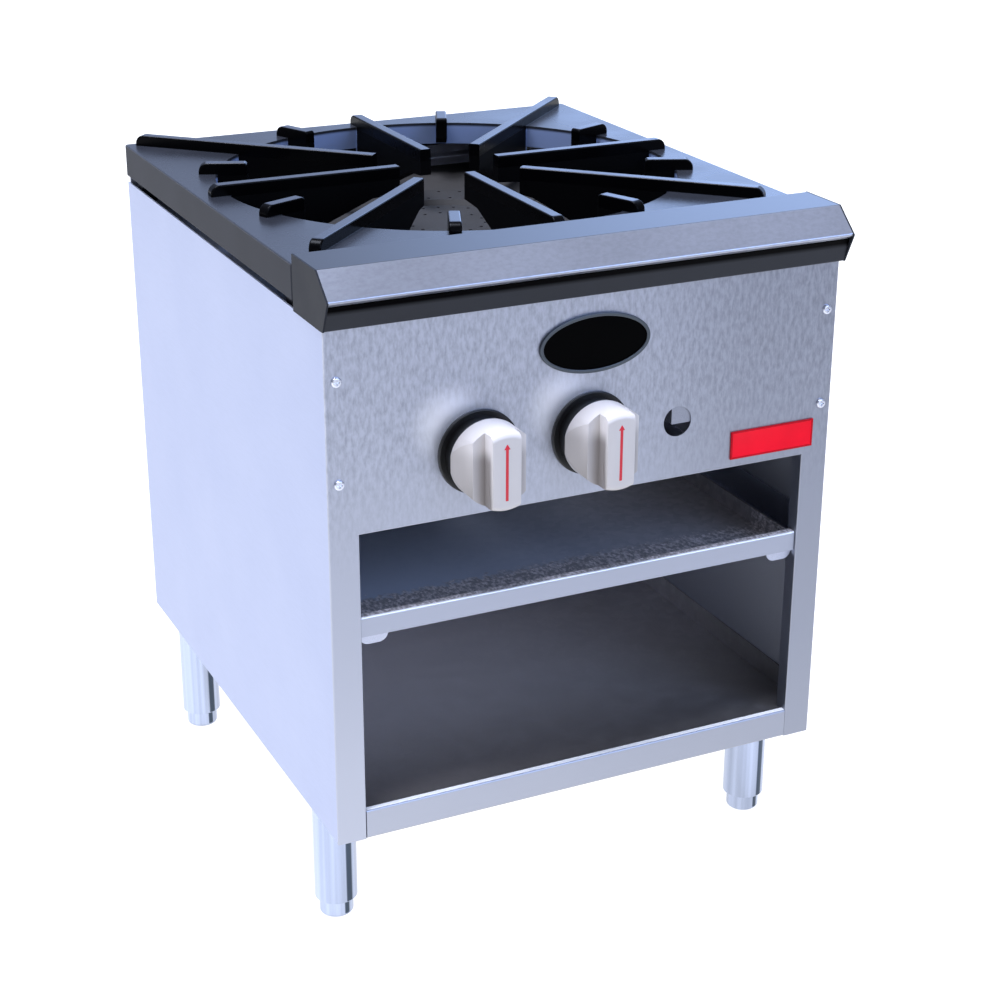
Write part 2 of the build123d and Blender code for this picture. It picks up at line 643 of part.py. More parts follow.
ELBOW_REACH = SUPPLY_X - MANIFOLD_ENDS[1]
with BuildPart() as pipe_elbow:
    corner = (SUPPLY_X, at(PIPE_DEPTH), PIPE_HEIGHT)
    with BuildSketch(across(MANIFOLD_ENDS[1] - 14)):
        with Locations((at(PIPE_DEPTH), PIPE_HEIGHT)):
            Circle(18)
    extrude(amount=ELBOW_REACH + 14)
    with BuildSketch(facing(PIPE_DEPTH + ELBOW_REACH + 14)):
        with Locations((SUPPLY_X, PIPE_HEIGHT)):
            Circle(18)
    extrude(amount=ELBOW_REACH + 14)
    with Locations(corner):
        Sphere(18)
    with BuildSketch(across(MANIFOLD_ENDS[1] - 14)):
        with Locations((at(PIPE_DEPTH), PIPE_HEIGHT)):
            Circle(PIPE_RADIUS + FIT)
    extrude(amount=14, mode=Mode.SUBTRACT)
    with BuildSketch(facing(PIPE_DEPTH + ELBOW_REACH + 14)):
        with Locations((SUPPLY_X, PIPE_HEIGHT)):
            Circle(PIPE_RADIUS + FIT)
    extrude(amount=14, mode=Mode.SUBTRACT)
    with BuildSketch(across(MANIFOLD_ENDS[1] - 14)):
        with Locations((at(PIPE_DEPTH), PIPE_HEIGHT)):
            Circle(PIPE_BORE)
    extrude(amount=ELBOW_REACH + 14, mode=Mode.SUBTRACT)
    with BuildSketch(facing(PIPE_DEPTH + ELBOW_REACH + 14)):
        with Locations((SUPPLY_X, PIPE_HEIGHT)):
            Circle(PIPE_BORE)
    extrude(amount=ELBOW_REACH + 14, mode=Mode.SUBTRACT)
finish(pipe_elbow.part, "pipe_elbow")

THREAD_RADIUS = 13.0     # threaded end at the rear connection
THREAD_LENGTH = 20.0
with BuildPart() as supply_pipe:
    with BuildSketch(facing(DEPTH + INLET_REACH - THREAD_LENGTH)):
        with Locations((SUPPLY_X, PIPE_HEIGHT)):
            Circle(PIPE_RADIUS)
    extrude(amount=DEPTH + INLET_REACH - THREAD_LENGTH - PIPE_DEPTH - ELBOW_REACH)
    with BuildSketch(facing(DEPTH + INLET_REACH)):
        with Locations((SUPPLY_X, PIPE_HEIGHT)):
            Circle(THREAD_RADIUS)
    extrude(amount=THREAD_LENGTH)
    with BuildSketch(facing(DEPTH + INLET_REACH)):
        with Locations((SUPPLY_X, PIPE_HEIGHT)):
            Circle(PIPE_BORE)
    extrude(amount=DEPTH + INLET_REACH - PIPE_DEPTH - ELBOW_REACH, mode=Mode.SUBTRACT)
finish(supply_pipe.part, "supply_pipe")

BRACKET_DEPTH = 22.5     # face of a bracket's plate, which the manifold is strapped to
BRACKET_BOTTOM = 428.5
BRACKET_TOP = 490.0
# across the range: a plate's free end, its web, and the end of the foot on the front panel, where
# the right foot shows in the sight hole
BRACKET_X = {"left": (-128.0, -174.0, -189.0), "right": (133.0, 97.0, 74.0)}
for name, (free_end, web, foot_end) in BRACKET_X.items():
    with BuildPart() as bracket:
        # plate, web and foot, folded from one strip
        with BuildSketch(level(BRACKET_BOTTOM)):
            with BuildLine():
                FilletPolyline(
                    (free_end, at(BRACKET_DEPTH)),
                    (web, at(BRACKET_DEPTH)),
                    (web, at(SHEET)),
                    (foot_end, at(SHEET)),
                    radius=BEND,
                )
                offset(amount=SHEET, side=Side.RIGHT)
            make_face()
        extrude(amount=BRACKET_TOP - BRACKET_BOTTOM)
    finish(bracket.part, f"manifold_bracket_{name}")

STRAP = 1.6
with BuildPart() as pipe_straps:
    for free_end, web, foot_end in BRACKET_X.values():
        with BuildSketch(across((free_end + web) / 2 - 8)):
            middle = (at(PIPE_DEPTH), PIPE_HEIGHT)
            plate_back = at(BRACKET_DEPTH + SHEET)
            with Locations(middle):
                Circle(PIPE_RADIUS + STRAP + FIT)
            with Locations((at(PIPE_DEPTH) - 8, PIPE_HEIGHT)):
                Rectangle(16, 2 * (PIPE_RADIUS + STRAP + FIT))
            with Locations(middle):
                Circle(PIPE_RADIUS + FIT, mode=Mode.SUBTRACT)
            with Locations((at(PIPE_DEPTH) - 8, PIPE_HEIGHT)):
                Rectangle(16, 2 * (PIPE_RADIUS + FIT), mode=Mode.SUBTRACT)
            # nothing of the loop stands in front of the plate, and two ears lie on it
            with Locations((plate_back - 20, PIPE_HEIGHT)):
                Rectangle(40, 80, mode=Mode.SUBTRACT)
            for direction in (-1, 1):
                ear = PIPE_HEIGHT + direction * (PIPE_RADIUS + FIT + 4)
                with Locations((plate_back + STRAP / 2, ear)):
                    Rectangle(STRAP, 8)
        extrude(amount=16)
finish(pipe_straps.part, "pipe_straps")

NOZZLE_RADIUS = 6.0
for name, knob in {"outer": "left", "inner": "right"}.items():
    x = KNOB_X[knob]
    with BuildPart() as gas_valve:
        with BuildSketch(facing(VALVE_BACK)):
            with Locations((x, KNOB_HEIGHT)):
                Circle(VALVE_RADIUS)
        extrude(amount=VALVE_BACK - VALVE_FRONT)
        with BuildSketch(facing(VALVE_BACK)):
            with Locations((x, KNOB_HEIGHT)):
                RegularPolygon(14, 6)
        extrude(amount=9)
        # inlet stub up into the manifold
        with BuildSketch(level(KNOB_HEIGHT)):
            with Locations((x, at(PIPE_DEPTH))):
                Circle(INLET_STUB)
        extrude(amount=PIPE_HEIGHT - PIPE_BORE - KNOB_HEIGHT)
        # socket for the stem
        with BuildSketch(facing(VALVE_FRONT + 24)):
            with Locations((x, KNOB_HEIGHT)):
                Circle(STEM_RADIUS + FIT)
        extrude(amount=24, mode=Mode.SUBTRACT)
    finish(gas_valve.part, f"gas_valve_{name}")

    with BuildPart() as orifice:
        with BuildSketch(across(x)):
            with BuildLine():
                Polyline(
                    (at(VALVE_BACK), KNOB_HEIGHT),
                    (at(VALVE_BACK), KNOB_HEIGHT + 8),
                    (at(VALVE_BACK + 14), KNOB_HEIGHT + 8),
                    (at(VALVE_BACK + 20), KNOB_HEIGHT + NOZZLE_RADIUS),
                    (at(MIXER_DEPTH + 1), KNOB_HEIGHT + NOZZLE_RADIUS),
                    (at(MIXER_DEPTH + 1), KNOB_HEIGHT),
                    close=True,
                )
            make_face()
        revolve(axis=Axis((x, 0, KNOB_HEIGHT), (0, 1, 0)))
    finish(orifice.part, f"orifice_{name}")

with BuildPart() as pilot_valve:
    with BuildSketch(level(PIPE_HEIGHT - PIPE_RADIUS - 14)):
        with Locations((PILOT_VALVE_X, at(PIPE_DEPTH))):
            RegularPolygon(8, 6)
    extrude(amount=14 - 0.2)
    with BuildSketch(level(PIPE_HEIGHT - PIPE_RADIUS - 1)):
        with Locations((PILOT_VALVE_X, at(PIPE_DEPTH))):
            Circle(4)
    extrude(amount=4)
    PILOT_TUBE_HEIGHT = PIPE_HEIGHT - PIPE_RADIUS - 7.5
    with BuildSketch(facing(PIPE_DEPTH + 14)):
        with Locations((PILOT_VALVE_X, PILOT_TUBE_HEIGHT)):
            Circle(5)
            Circle(TUBE_R + FIT, mode=Mode.SUBTRACT)
    extrude(amount=9)
finish(pilot_valve.part, "pilot_valve")

with BuildPart() as pilot_tube:
    with BuildLine() as route:
        first = (PILOT_VALVE_X, at(PIPE_DEPTH + 8), PILOT_TUBE_HEIGHT)
        FilletPolyline(
            first,
            (PILOT_VALVE_X, at(110), PILOT_TUBE_HEIGHT),
            (PILOT[0], at(PILOT[1]), PILOT_TUBE_HEIGHT + 6),
            (PILOT[0], at(PILOT[1]), 520),
            radius=14,
        )
    with BuildSketch(Plane(origin=first, z_dir=(0, 1, 0))):
        Circle(TUBE_R)
    sweep(path=route.wires()[0])
finish(pilot_tube.part, "pilot_tube")

with BuildPart() as pilot_burner:
    with BuildSketch(level(520)):
        with Locations((PILOT[0], at(PILOT[1]))):
            Circle(PILOT_RADIUS)
    extrude(amount=24)
    # two small wings over the deck plate, and a flame slot at the top
    block((PILOT[0] - 11, PILOT[0] + 11), (PILOT[1] - 4, PILOT[1] + 4), (BURNER_DECK_TOP, BURNER_DECK_TOP + 1.5))
    block((PILOT[0] - 6, PILOT[0] + 6), (PILOT[1] - 1, PILOT[1] + 1), (541, 545), Mode.SUBTRACT)
finish(pilot_burner.part, "pilot_burner")

# ---------------------------------------------------------------- knobs, stems and bezels
BEZEL_RADIUS = 35.0
BEZEL_REACH = 3.0        # front face of the bezel's flange
COLLAR_RADIUS = 30.0
COLLAR_REACH = 16.5      # front face of the collar behind the knob
KNOB_BACK = 17.0
CROWN_ROUND = 5.0        # rounded front rim of a knob
STEM_REACH = 38.0
# one side of the grip, as distance from the knob's middle and forward of the panel: the grip's side,
# a narrow ledge, and a slope out to the rim
GRIP_SIDE = [(11.5, 53.0), (12.0, 39.0), (22.5, 38.5), (31.8, 16.9), (40.0, 16.9), (40.0, 53.0)]

for name, x in KNOB_X.items():
    with BuildPart() as bezel:
        with BuildSketch(facing(0)):
            with Locations((x, KNOB_HEIGHT)):
                Circle(BEZEL_RADIUS)
        extrude(amount=BEZEL_REACH)
        fillet(bezel.edges().group_by(Axis.Y)[0], 1)
        with BuildSketch(facing(0)):
            with Locations((x, KNOB_HEIGHT)):
                Circle(COLLAR_RADIUS)
        extrude(amount=COLLAR_REACH)
        with BuildSketch(facing(0)):
            with Locations((x, KNOB_HEIGHT)):
                Circle(STEM_RADIUS + 2)
        extrude(amount=COLLAR_REACH, mode=Mode.SUBTRACT)
    finish(bezel.part, f"knob_bezel_{name}")

    with BuildPart() as stem:
        with BuildSketch(facing(VALVE_FRONT + 22)):
            with Locations((x, KNOB_HEIGHT)):
                Circle(STEM_RADIUS)
        extrude(amount=VALVE_FRONT + 22 + STEM_REACH)
        # flat on the knob's end of the stem
        block((x - 5, x + 5), (-STEM_REACH, -KNOB_BACK), (KNOB_HEIGHT + 2.6, KNOB_HEIGHT + 5), Mode.SUBTRACT)
    finish(stem.part, f"valve_stem_{name}")

    with BuildPart() as knob:
        with BuildSketch(facing(-KNOB_BACK)):
            with Locations((x, KNOB_HEIGHT)):
                Circle(KNOB_RADIUS)
        extrude(amount=KNOB_REACH - KNOB_BACK)
        fillet(knob.edges().group_by(Axis.Y)[0], CROWN_ROUND)
        fillet(knob.edges().group_by(Axis.Y)[-1], 0.8)
        # both sides are cut back to leave the grip across the middle
        for side in (-1, 1):
            with BuildSketch(level(KNOB_HEIGHT - 40)) as cut:
                with BuildLine():
                    Polyline(*[(x + side * out, at(-reach)) for out, reach in GRIP_SIDE], close=True)
                make_face()
                inner_corners = cut.vertices().sort_by(lambda v: side * v.X)[1:3]
                fillet(inner_corners, 2)
            extrude(amount=80, mode=Mode.SUBTRACT)
        face_edges = knob.faces().sort_by(Axis.Y)[0].edges()
        fillet(face_edges, 0.5)
        # hollow back, and a socket that fits the stem with its flat
        with BuildSketch(facing(-KNOB_BACK)):
            with Locations((x, KNOB_HEIGHT)):
                Circle(KNOB_RADIUS - 4)
                Circle(STEM_RADIUS + 4, mode=Mode.SUBTRACT)
        extrude(amount=3, mode=Mode.SUBTRACT)
        with BuildSketch(facing(-KNOB_BACK)):
            with Locations((x, KNOB_HEIGHT)):
                Circle(STEM_RADIUS + FIT)
        extrude(amount=STEM_REACH - KNOB_BACK + 0.5, mode=Mode.SUBTRACT)
        flat = (KNOB_HEIGHT + 2.6 + FIT, KNOB_HEIGHT + 5)
        block((x - 5, x + 5), (-STEM_REACH - 1, -KNOB_BACK - 0.2), flat)
    finish(knob.part, f"knob_{name}")

# ---------------------------------------------------------------- plates on the front
OVAL = (49.25, 24.5)
OVAL_HEIGHT = 510.0
OVAL_RIM = 3.0
with BuildPart() as oval_rim:
    with BuildSketch(facing(0)):
        with Locations((0, OVAL_HEIGHT)):
            Ellipse(*OVAL)
            Ellipse(OVAL[0] - OVAL_RIM, OVAL[1] - OVAL_RIM, mode=Mode.SUBTRACT)
    extrude(amount=2.6)
    fillet(oval_rim.edges().group_by(Axis.Y)[0], 0.9)
finish(oval_rim.part, "oval_plate_rim")

with BuildPart() as oval_plate:
    with BuildSketch(facing(0)):
        with Locations((0, OVAL_HEIGHT)):
            Ellipse(OVAL[0] - OVAL_RIM - 0.05, OVAL[1] - OVAL_RIM - 0.05)
    extrude(amount=1.6)
finish(oval_plate.part, "oval_plate")

BADGE_X = (131.0, 212.0)
BADGE_HEIGHTS = (388.7, 413.3)
with BuildPart() as badge_plate:
    with BuildSketch(facing(0)):
        with Locations((sum(BADGE_X) / 2, sum(BADGE_HEIGHTS) / 2)):
            RectangleRounded(BADGE_X[1] - BADGE_X[0], BADGE_HEIGHTS[1] - BADGE_HEIGHTS[0], 1.5)
    extrude(amount=1.5)
    fillet(badge_plate.edges().group_by(Axis.Y)[0], 0.5)
finish(badge_plate.part, "badge_plate")

# ---------------------------------------------------------------- legs and feet
PLATE = 3.0
BOSS_HEIGHT = 9.0
FOOT_STEM = 6.0
FOOT_STEM_TOP = 54.0
for end, depth in ENDS.items():
    for name, side in SIDES.items():
        middle = (side * LEG_X, at(depth))
        with BuildPart() as leg_plate:
            with BuildSketch(level(BODY_BOTTOM + SHEET)):
                with Locations((side * 190, at(depth))):
                    RectangleRounded(70, 70, 4)
                with Locations(*[(side * x, at(depth) + y) for x, y in LEG_SCREWS]):
                    Circle(SCREW_HOLE, mode=Mode.SUBTRACT)
            extrude(amount=PLATE)
            with BuildSketch(level(BODY_BOTTOM + SHEET)):
                with Locations(middle):
                    Circle(STUD_RADIUS + 5)
            extrude(amount=PLATE + BOSS_HEIGHT)
            with BuildSketch(level(BODY_BOTTOM)):
                with Locations(middle):
                    Circle(STUD_RADIUS + FIT)
            extrude(amount=20, mode=Mode.SUBTRACT)
        finish(leg_plate.part, f"leg_plate_{end}_{name}")

        with BuildPart() as leg:
            with BuildSketch(level(FOOT_HEIGHT + 0.2)):
                with Locations(middle):
                    Circle(LEG_RADIUS)
            extrude(amount=BODY_BOTTOM - FOOT_HEIGHT - 0.2)
            fillet(leg.edges().group_by(Axis.Z)[0], 1)
            with BuildSketch(level(BODY_BOTTOM)):
                with Locations(middle):
                    Circle(STUD_RADIUS)
            extrude(amount=SHEET + PLATE + BOSS_HEIGHT - 1)
            with BuildSketch(level(FOOT_HEIGHT)):
                with Locations(middle):
                    Circle(FOOT_STEM + FIT)
            extrude(amount=FOOT_STEM_TOP + 2 - FOOT_HEIGHT, mode=Mode.SUBTRACT)
        finish(leg.part, f"leg_{end}_{name}")

        with BuildPart() as foot:
            with BuildSketch(level(0)):
                with Locations(middle):
                    Circle(FOOT_RADIUS)
            extrude(amount=FOOT_HEIGHT)
            fillet(foot.edges().group_by(Axis.Z)[0], 3.5)
            with BuildSketch(level(FOOT_HEIGHT)):
                with Locations(middle):
                    Circle(FOOT_STEM)
            extrude(amount=FOOT_STEM_TOP - FOOT_HEIGHT)
        finish(foot.part, f"foot_{end}_{name}")

# ---------------------------------------------------------------- screws
with BuildPart() as front_screws:
    with BuildSketch(facing(6)):
        with Locations(*[(s * SCREW_X, z) for s in (-1, 1) for z in SCREW_HEIGHTS]):
            Circle(SCREW_RADIUS)
    extrude(amount=6)
    with BuildSketch(facing(0)):
        with Locations(*[(s * SCREW_X, z) for s in (-1, 1) for z in SCREW_HEIGHTS]):
            Circle(4.2)
    extrude(amount=2.4)
    fillet(front_screws.edges().group_by(Axis.Y)[0], 1.4)
finish(front_screws.part, "front_screws")

with BuildPart() as rear_screws:
    spots = [(s * REAR_SCREW_X, z) for s in (-1, 1) for z in REAR_SCREW_HEIGHTS]
    with BuildSketch(facing(DEPTH)):
        with Locations(*spots):
            Circle(SCREW_RADIUS)
    extrude(amount=6)
    with BuildSketch(facing(DEPTH + 2.4)):
        with Locations(*spots):
            Circle(4.2)
    extrude(amount=2.4)
    fillet(rear_screws.edges().group_by(Axis.Y)[-1], 1.4)
finish(rear_screws.part, "rear_screws")

with BuildPart() as leg_screws:
    spots = [(s * x, at(depth) + y) for s in (-1, 1) for depth in LEG_DEPTHS for x, y in LEG_SCREWS]
    with BuildSketch(level(BODY_BOTTOM)):
        with Locations(*spots):
            Circle(SCREW_RADIUS)
    extrude(amount=SHEET + PLATE)
    with BuildSketch(level(BODY_BOTTOM + SHEET + PLATE)):
        with Locations(*spots):
            RegularPolygon(5, 6)
    extrude(amount=3.5)
finish(leg_screws.part, "leg_screws")
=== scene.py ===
import math

import bpy
from bpy.props import FloatProperty, FloatVectorProperty, PointerProperty
from mathutils import Euler, Matrix, Vector


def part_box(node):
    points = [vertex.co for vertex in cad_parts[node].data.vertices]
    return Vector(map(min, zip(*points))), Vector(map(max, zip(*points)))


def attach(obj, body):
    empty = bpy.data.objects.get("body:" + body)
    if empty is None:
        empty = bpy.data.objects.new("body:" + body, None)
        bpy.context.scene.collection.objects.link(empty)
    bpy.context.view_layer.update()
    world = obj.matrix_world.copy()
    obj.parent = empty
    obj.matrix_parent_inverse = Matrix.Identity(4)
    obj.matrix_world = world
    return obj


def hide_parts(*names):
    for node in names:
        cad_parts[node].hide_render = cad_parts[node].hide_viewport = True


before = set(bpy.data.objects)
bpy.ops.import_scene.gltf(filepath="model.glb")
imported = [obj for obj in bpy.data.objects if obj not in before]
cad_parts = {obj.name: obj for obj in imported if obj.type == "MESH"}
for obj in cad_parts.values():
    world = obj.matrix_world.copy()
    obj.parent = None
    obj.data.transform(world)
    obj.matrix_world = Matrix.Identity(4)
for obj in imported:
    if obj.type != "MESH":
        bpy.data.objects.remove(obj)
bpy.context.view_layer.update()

bl_info = {
    "name": "Stock Pot Range",
    "version": (1, 0, 0),
    "blender": (4, 5, 0),
    "location": "View3D > Sidebar > Range",
    "description": "Finishes, knobs, plates, screws and studio of a single-burner gas stock pot range",
    "category": "Object",
}

MM = 0.001

# Places read from the frame, which the finishes and the modelled pieces are set out from.
GRATE_LOW, GRATE_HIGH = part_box("top_grate")
GRATE_MIDDLE = (GRATE_LOW + GRATE_HIGH) / 2
DECK_TOP = GRATE_HIGH.z - 10 * MM       # the fingers stand this far above the deck
ROUND_OPENING = 205 * MM                # radius of the opening in the deck
LEDGE_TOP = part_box("front_ledge")[1].z
NOSE_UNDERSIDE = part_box("ledge_trim")[1].z
PANEL_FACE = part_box("front_panel")[0].y
BACK_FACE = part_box("back_panel")[1].y
LEFT, RIGHT = ("left", "right")

FACING_FRONT = (math.pi / 2, 0, 0)      # turns a shape that was made upright to lie along Y
ON_PLANE = 0.01 * MM                    # a face whose middle is this near to a plane lies on it

# A Mix node's inputs share their names, so they are called by number.
COLOUR_A, COLOUR_B = 6, 7
NUMBER_A, NUMBER_B = 2, 3


def linear(code):
    """Linear RGBA of an sRGB hex colour."""
    def channel(value):
        return value / 12.92 if value <= 0.04045 else ((value + 0.055) / 1.055) ** 2.4
    return tuple(channel(int(code[i:i + 2], 16) / 255) for i in (0, 2, 4)) + (1.0,)


def colour_setting(name, description, code):
    """A colour that a user can change, with its sRGB default."""
    return FloatVectorProperty(name=name, description=description, subtype="COLOR", size=4,
                               min=0.0, max=1.0, default=linear(code))


def length_setting(name, description, millimetres):
    """A length that a user can change, given here in millimetres."""
    return FloatProperty(name=name, description=description, unit="LENGTH", precision=4,
                         min=0.0, default=millimetres * MM)


# ---------------------------------------------------------------- settings
class RangeColours(bpy.types.PropertyGroup):
    side: colour_setting("Side panels", "Satin stainless of the two sides", "ABB3CC")
    front: colour_setting("Front sheet", "Rolled stainless of front, rail and ledge", "ADB1BD")
    galvanised: colour_setting("Bay sheet", "Galvanised sheet of the shelf", "CCCACD")
    lining: colour_setting("Bay lining", "Dull inner faces of the sides and the back", "B4B8C4")
    tray: colour_setting("Tray sheet", "Galvanised sheet of the crumb tray", "A5A2A6")
    deck_plate: colour_setting("Burner deck", "Aluminised plate under the grate", "1F1D1C")
    # on the ledge's lower strip this near-black is painted shade
    enamel: colour_setting("Black enamel", "Ledge's flat top, lower strip and end plates", "26282D")
    iron: colour_setting("Grate enamel", "Enamelled casting, deck and skirt", "26282E")
    finger: colour_setting("Grate fingers", "Burnt black iron of the fingers", "030304")
    burner: colour_setting("Burner iron", "Bare cast iron of the burners", "191716")
    brass: colour_setting("Brass", "Valves and orifices", "C9A25C")
    zinc: colour_setting("Zinc plate", "Shutters, stems, screws and leg plates", "E2E5EE")
    knob: colour_setting("Knobs", "Ivory moulded thermoset", "C4BFBC")
    index: colour_setting("Knob index", "Red bar on a knob's grip", "C9182C")
    # the bezels' black is partly painted shade: each knob's shadow and dark reflection on the panel
    bezel: colour_setting("Bezels", "Black moulded bezel and collar behind a knob", "050506")
    plate: colour_setting("Oval plate", "Black enamelled face, blank", "030303")
    rim: colour_setting("Oval rim", "Blackened rim round the oval plate", "5A6066")
    badge: colour_setting("Red plate", "Red enamelled face, blank", "F5122A")
    chrome: colour_setting("Legs", "Polished tube and feet", "B4BED6")
    floor: colour_setting("Floor", "Plain pale studio floor", "FFFFFF")
    light: colour_setting("Studio light", "Tint of the soft light all round", "E6ECFF")
    back_light: colour_setting("Back light", "Tint of the soft light behind and at the front right", "A3C2FA")


class RangeSizes(bpy.types.PropertyGroup):
    grip_width: length_setting("Grip width", "Width of a knob's grip at its face", 23.0)
    crown_round: length_setting("Crown", "Rounding of a knob's front rim", 5.0)
    moulded_edge: length_setting("Moulded edge", "Small rounding along a knob's other edges", 0.9)
    index_width: length_setting("Index width", "Width of the red bar on a grip", 2.4)
    head_radius: length_setting("Screw head", "Radius of a front or rear screw's head", 4.2)
    recess_width: length_setting("Cross recess", "Width of the recess in a screw's head", 1.0)
    rim_width: length_setting("Rim width", "Width of the rim round the oval plate", 3.0)
    badge_border: length_setting("Badge border", "Width of the red plate's raised border", 1.6)


# ---------------------------------------------------------------- shader tools
def fill(node, inputs):
    """Fill a node's inputs with values or with links. A node stands for its first output that is in use."""
    for name, value in inputs.items():
        if isinstance(value, bpy.types.Node):
            value = next(socket for socket in value.outputs if socket.enabled)
        if isinstance(value, bpy.types.NodeSocket):
            node.id_data.links.new(value, node.inputs[name])
        else:
            node.inputs[name].default_value = value


def add_node(tree, kind, inputs=None, **settings):
    """Add a node, set its properties, and fill its inputs."""
    new = tree.nodes.new("ShaderNode" + kind)
    for key, value in settings.items():
        setattr(new, key, value)
    fill(new, inputs or {})
    return new


def opened(material):
    """A material's tree, its surface shader and its Object coordinates."""
    tree = material.node_tree
    return tree, tree.nodes["Principled BSDF"], tree.nodes["Texture Coordinate"].outputs["Object"]


def new_material(name):
    """A material that holds only its surface shader and its coordinates, and what opened gives for it."""
    material = bpy.data.materials.new(name)
    material.use_nodes = True
    tree = material.node_tree
    tree.nodes.clear()
    shader = add_node(tree, "BsdfPrincipled")
    add_node(tree, "OutputMaterial", {"Surface": shader})
    add_node(tree, "TexCoord")
    return material, *opened(material)


def pattern_size(tree, place, millimetres):
    """Object coordinates stretched so that one unit of a pattern is this long along X, Y and Z."""
    scale = [1 / (length * MM) for length in millimetres]
    return add_node(tree, "Mapping", {"Vector": place, "Scale": scale})


def shade(colour, factor):
    """A colour made lighter or darker in linear light."""
    return tuple(min(1.0, channel * factor) for channel in colour[:3]) + (1.0,)


def mottled(tree, place, size, colour, dark, pale, start=0.3, end=0.7, detail=2.0, rough=0.5):
    """Noise of this size in millimetres, and a colour that goes between a dark and a pale shade of itself
    where the noise goes from its start to its end level."""
    noise = add_node(tree, "TexNoise", {"Vector": pattern_size(tree, place, size), "Scale": 1.0,
                     "Detail": detail, "Roughness": rough})
    tone = add_node(tree, "ValToRGB", {"Fac": noise})
    first, last = tone.color_ramp.elements
    first.position, first.color = start, shade(colour, dark)
    last.position, last.color = end, shade(colour, pale)
    return noise, tone


def along(tree, place, axis, start, end, low=0.0, high=1.0, curve="LINEAR"):
    """A level that goes from low to high between two places along an axis."""
    spot = add_node(tree, "SeparateXYZ", {"Vector": place}).outputs[axis]
    return add_node(tree, "MapRange", {"Value": spot, "From Min": start, "From Max": end,
                    "To Min": low, "To Max": high}, interpolation_type=curve)


def lay_over(shader, share, colour, blend="MIX"):
    """Lay a colour over a share of the colour that a surface has so far."""
    so_far = shader.inputs["Base Color"].links[0].from_socket
    mixed = add_node(shader.id_data, "Mix", {"Factor": share, COLOUR_A: so_far, COLOUR_B: colour},
                     data_type="RGBA", blend_type=blend)
    fill(shader, {"Base Color": mixed})


def dress(material, *names):
    """Give this material to every slot of these CAD nodes."""
    for name in names:
        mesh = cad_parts[name].data
        mesh.materials.clear()
        mesh.materials.append(material)


# ---------------------------------------------------------------- materials
def rolled_sheet(name, colour, grain, contrast, roughness, bump, plain_below=0.0):
    """Rolled stainless steel. Its grain is flecks drawn out along the rolling, given in millimetres along X,
    Y and Z and drawn as coarse as they need to show, and a slow mottle of handling marks makes its gloss
    uneven. Below a height the sheet has been wiped smooth."""
    material, tree, shader, place = new_material(name)
    flecks, tone = mottled(tree, place, grain, colour, 1 - contrast, 1 + contrast / 2, start=0.32, end=0.62,
                           detail=3.0, rough=0.6)
    marks = add_node(tree, "TexNoise", {"Vector": pattern_size(tree, place, (90, 90, 90)), "Scale": 1.0})
    gloss = add_node(tree, "MapRange", {"Value": marks, "From Min": 0.3, "From Max": 0.7,
                     "To Min": roughness - 0.02, "To Max": roughness + 0.02})
    relief = add_node(tree, "Bump", {"Height": flecks, "Strength": bump, "Distance": 0.1 * MM})
    fill(shader, {"Base Color": tone, "Metallic": 1.0, "Roughness": gloss, "Normal": relief})
    wiped = along(tree, place, "Z", plain_below - 60 * MM, plain_below + 60 * MM, 1.0, 0.0)
    lay_over(shader, wiped, colour)
    return material


def crystals(tree, place, size):
    """A level of its own for each zinc crystal; they are about this many millimetres across."""
    cells = add_node(tree, "TexVoronoi", {"Vector": pattern_size(tree, place, (size,) * 3), "Scale": 1.0})
    return add_node(tree, "SeparateColor", {"Color": cells.outputs["Color"]}).outputs["Red"]


def painted_light_at_left(shader, place, lit_colour, lit_share):
    """Paint light on a bay sheet: a pale colour laid over up to a share of it at the left wall."""
    share = along(shader.id_data, place, "X", 240 * MM, -200 * MM, 0.0, lit_share, "SMOOTHSTEP")
    lay_over(shader, share, lit_colour)


def galvanised_sheet(name, colour, spangle, contrast, lit_colour, lit_share):
    """Hot-dip galvanised steel gone dull. Its zinc froze in crystals of about this many millimetres, which
    take slightly different tones and gloss under a fine powder, and painted light pales it at the left."""
    material, tree, shader, place = new_material(name)
    level = crystals(tree, place, spangle)
    powder = add_node(tree, "TexNoise", {"Vector": pattern_size(tree, place, (4, 4, 4)), "Scale": 1.0,
                      "Detail": 4.0, "Roughness": 0.65})
    both = add_node(tree, "Math", {0: level, 1: powder, 2: 0.25}, operation="MULTIPLY_ADD")
    tone = add_node(tree, "ValToRGB", {"Fac": both})
    first, last = tone.color_ramp.elements
    first.position, first.color = 0.2, shade(colour, 1 - contrast)
    last.position, last.color = 0.9, shade(colour, 1 + contrast)
    gloss = add_node(tree, "MapRange", {"Value": level, "To Min": 0.42, "To Max": 0.58})
    relief = add_node(tree, "Bump", {"Height": powder, "Strength": 0.12, "Distance": 0.1 * MM})
    fill(shader, {"Base Color": tone, "Metallic": 0.4, "Roughness": gloss, "Normal": relief})
    painted_light_at_left(shader, place, lit_colour, lit_share)
    return material


def heat_dulled(name, colour, metallic, roughness, grit, bump):
    """Bare steel or iron that has been hot many times: a dry, blotched brown-grey skin over a surface
    whose grit is given in millimetres."""
    material, tree, shader, place = new_material(name)
    tone = mottled(tree, place, (35, 35, 35), colour, 0.8, 1.2, detail=5.0, rough=0.55)[1]
    grains = add_node(tree, "TexNoise", {"Vector": pattern_size(tree, place, (grit,) * 3), "Scale": 1.0})
    relief = add_node(tree, "Bump", {"Height": grains, "Strength": bump, "Distance": 0.3 * MM})
    fill(shader, {"Base Color": tone, "Metallic": metallic, "Roughness": roughness, "Normal": relief})
    return material


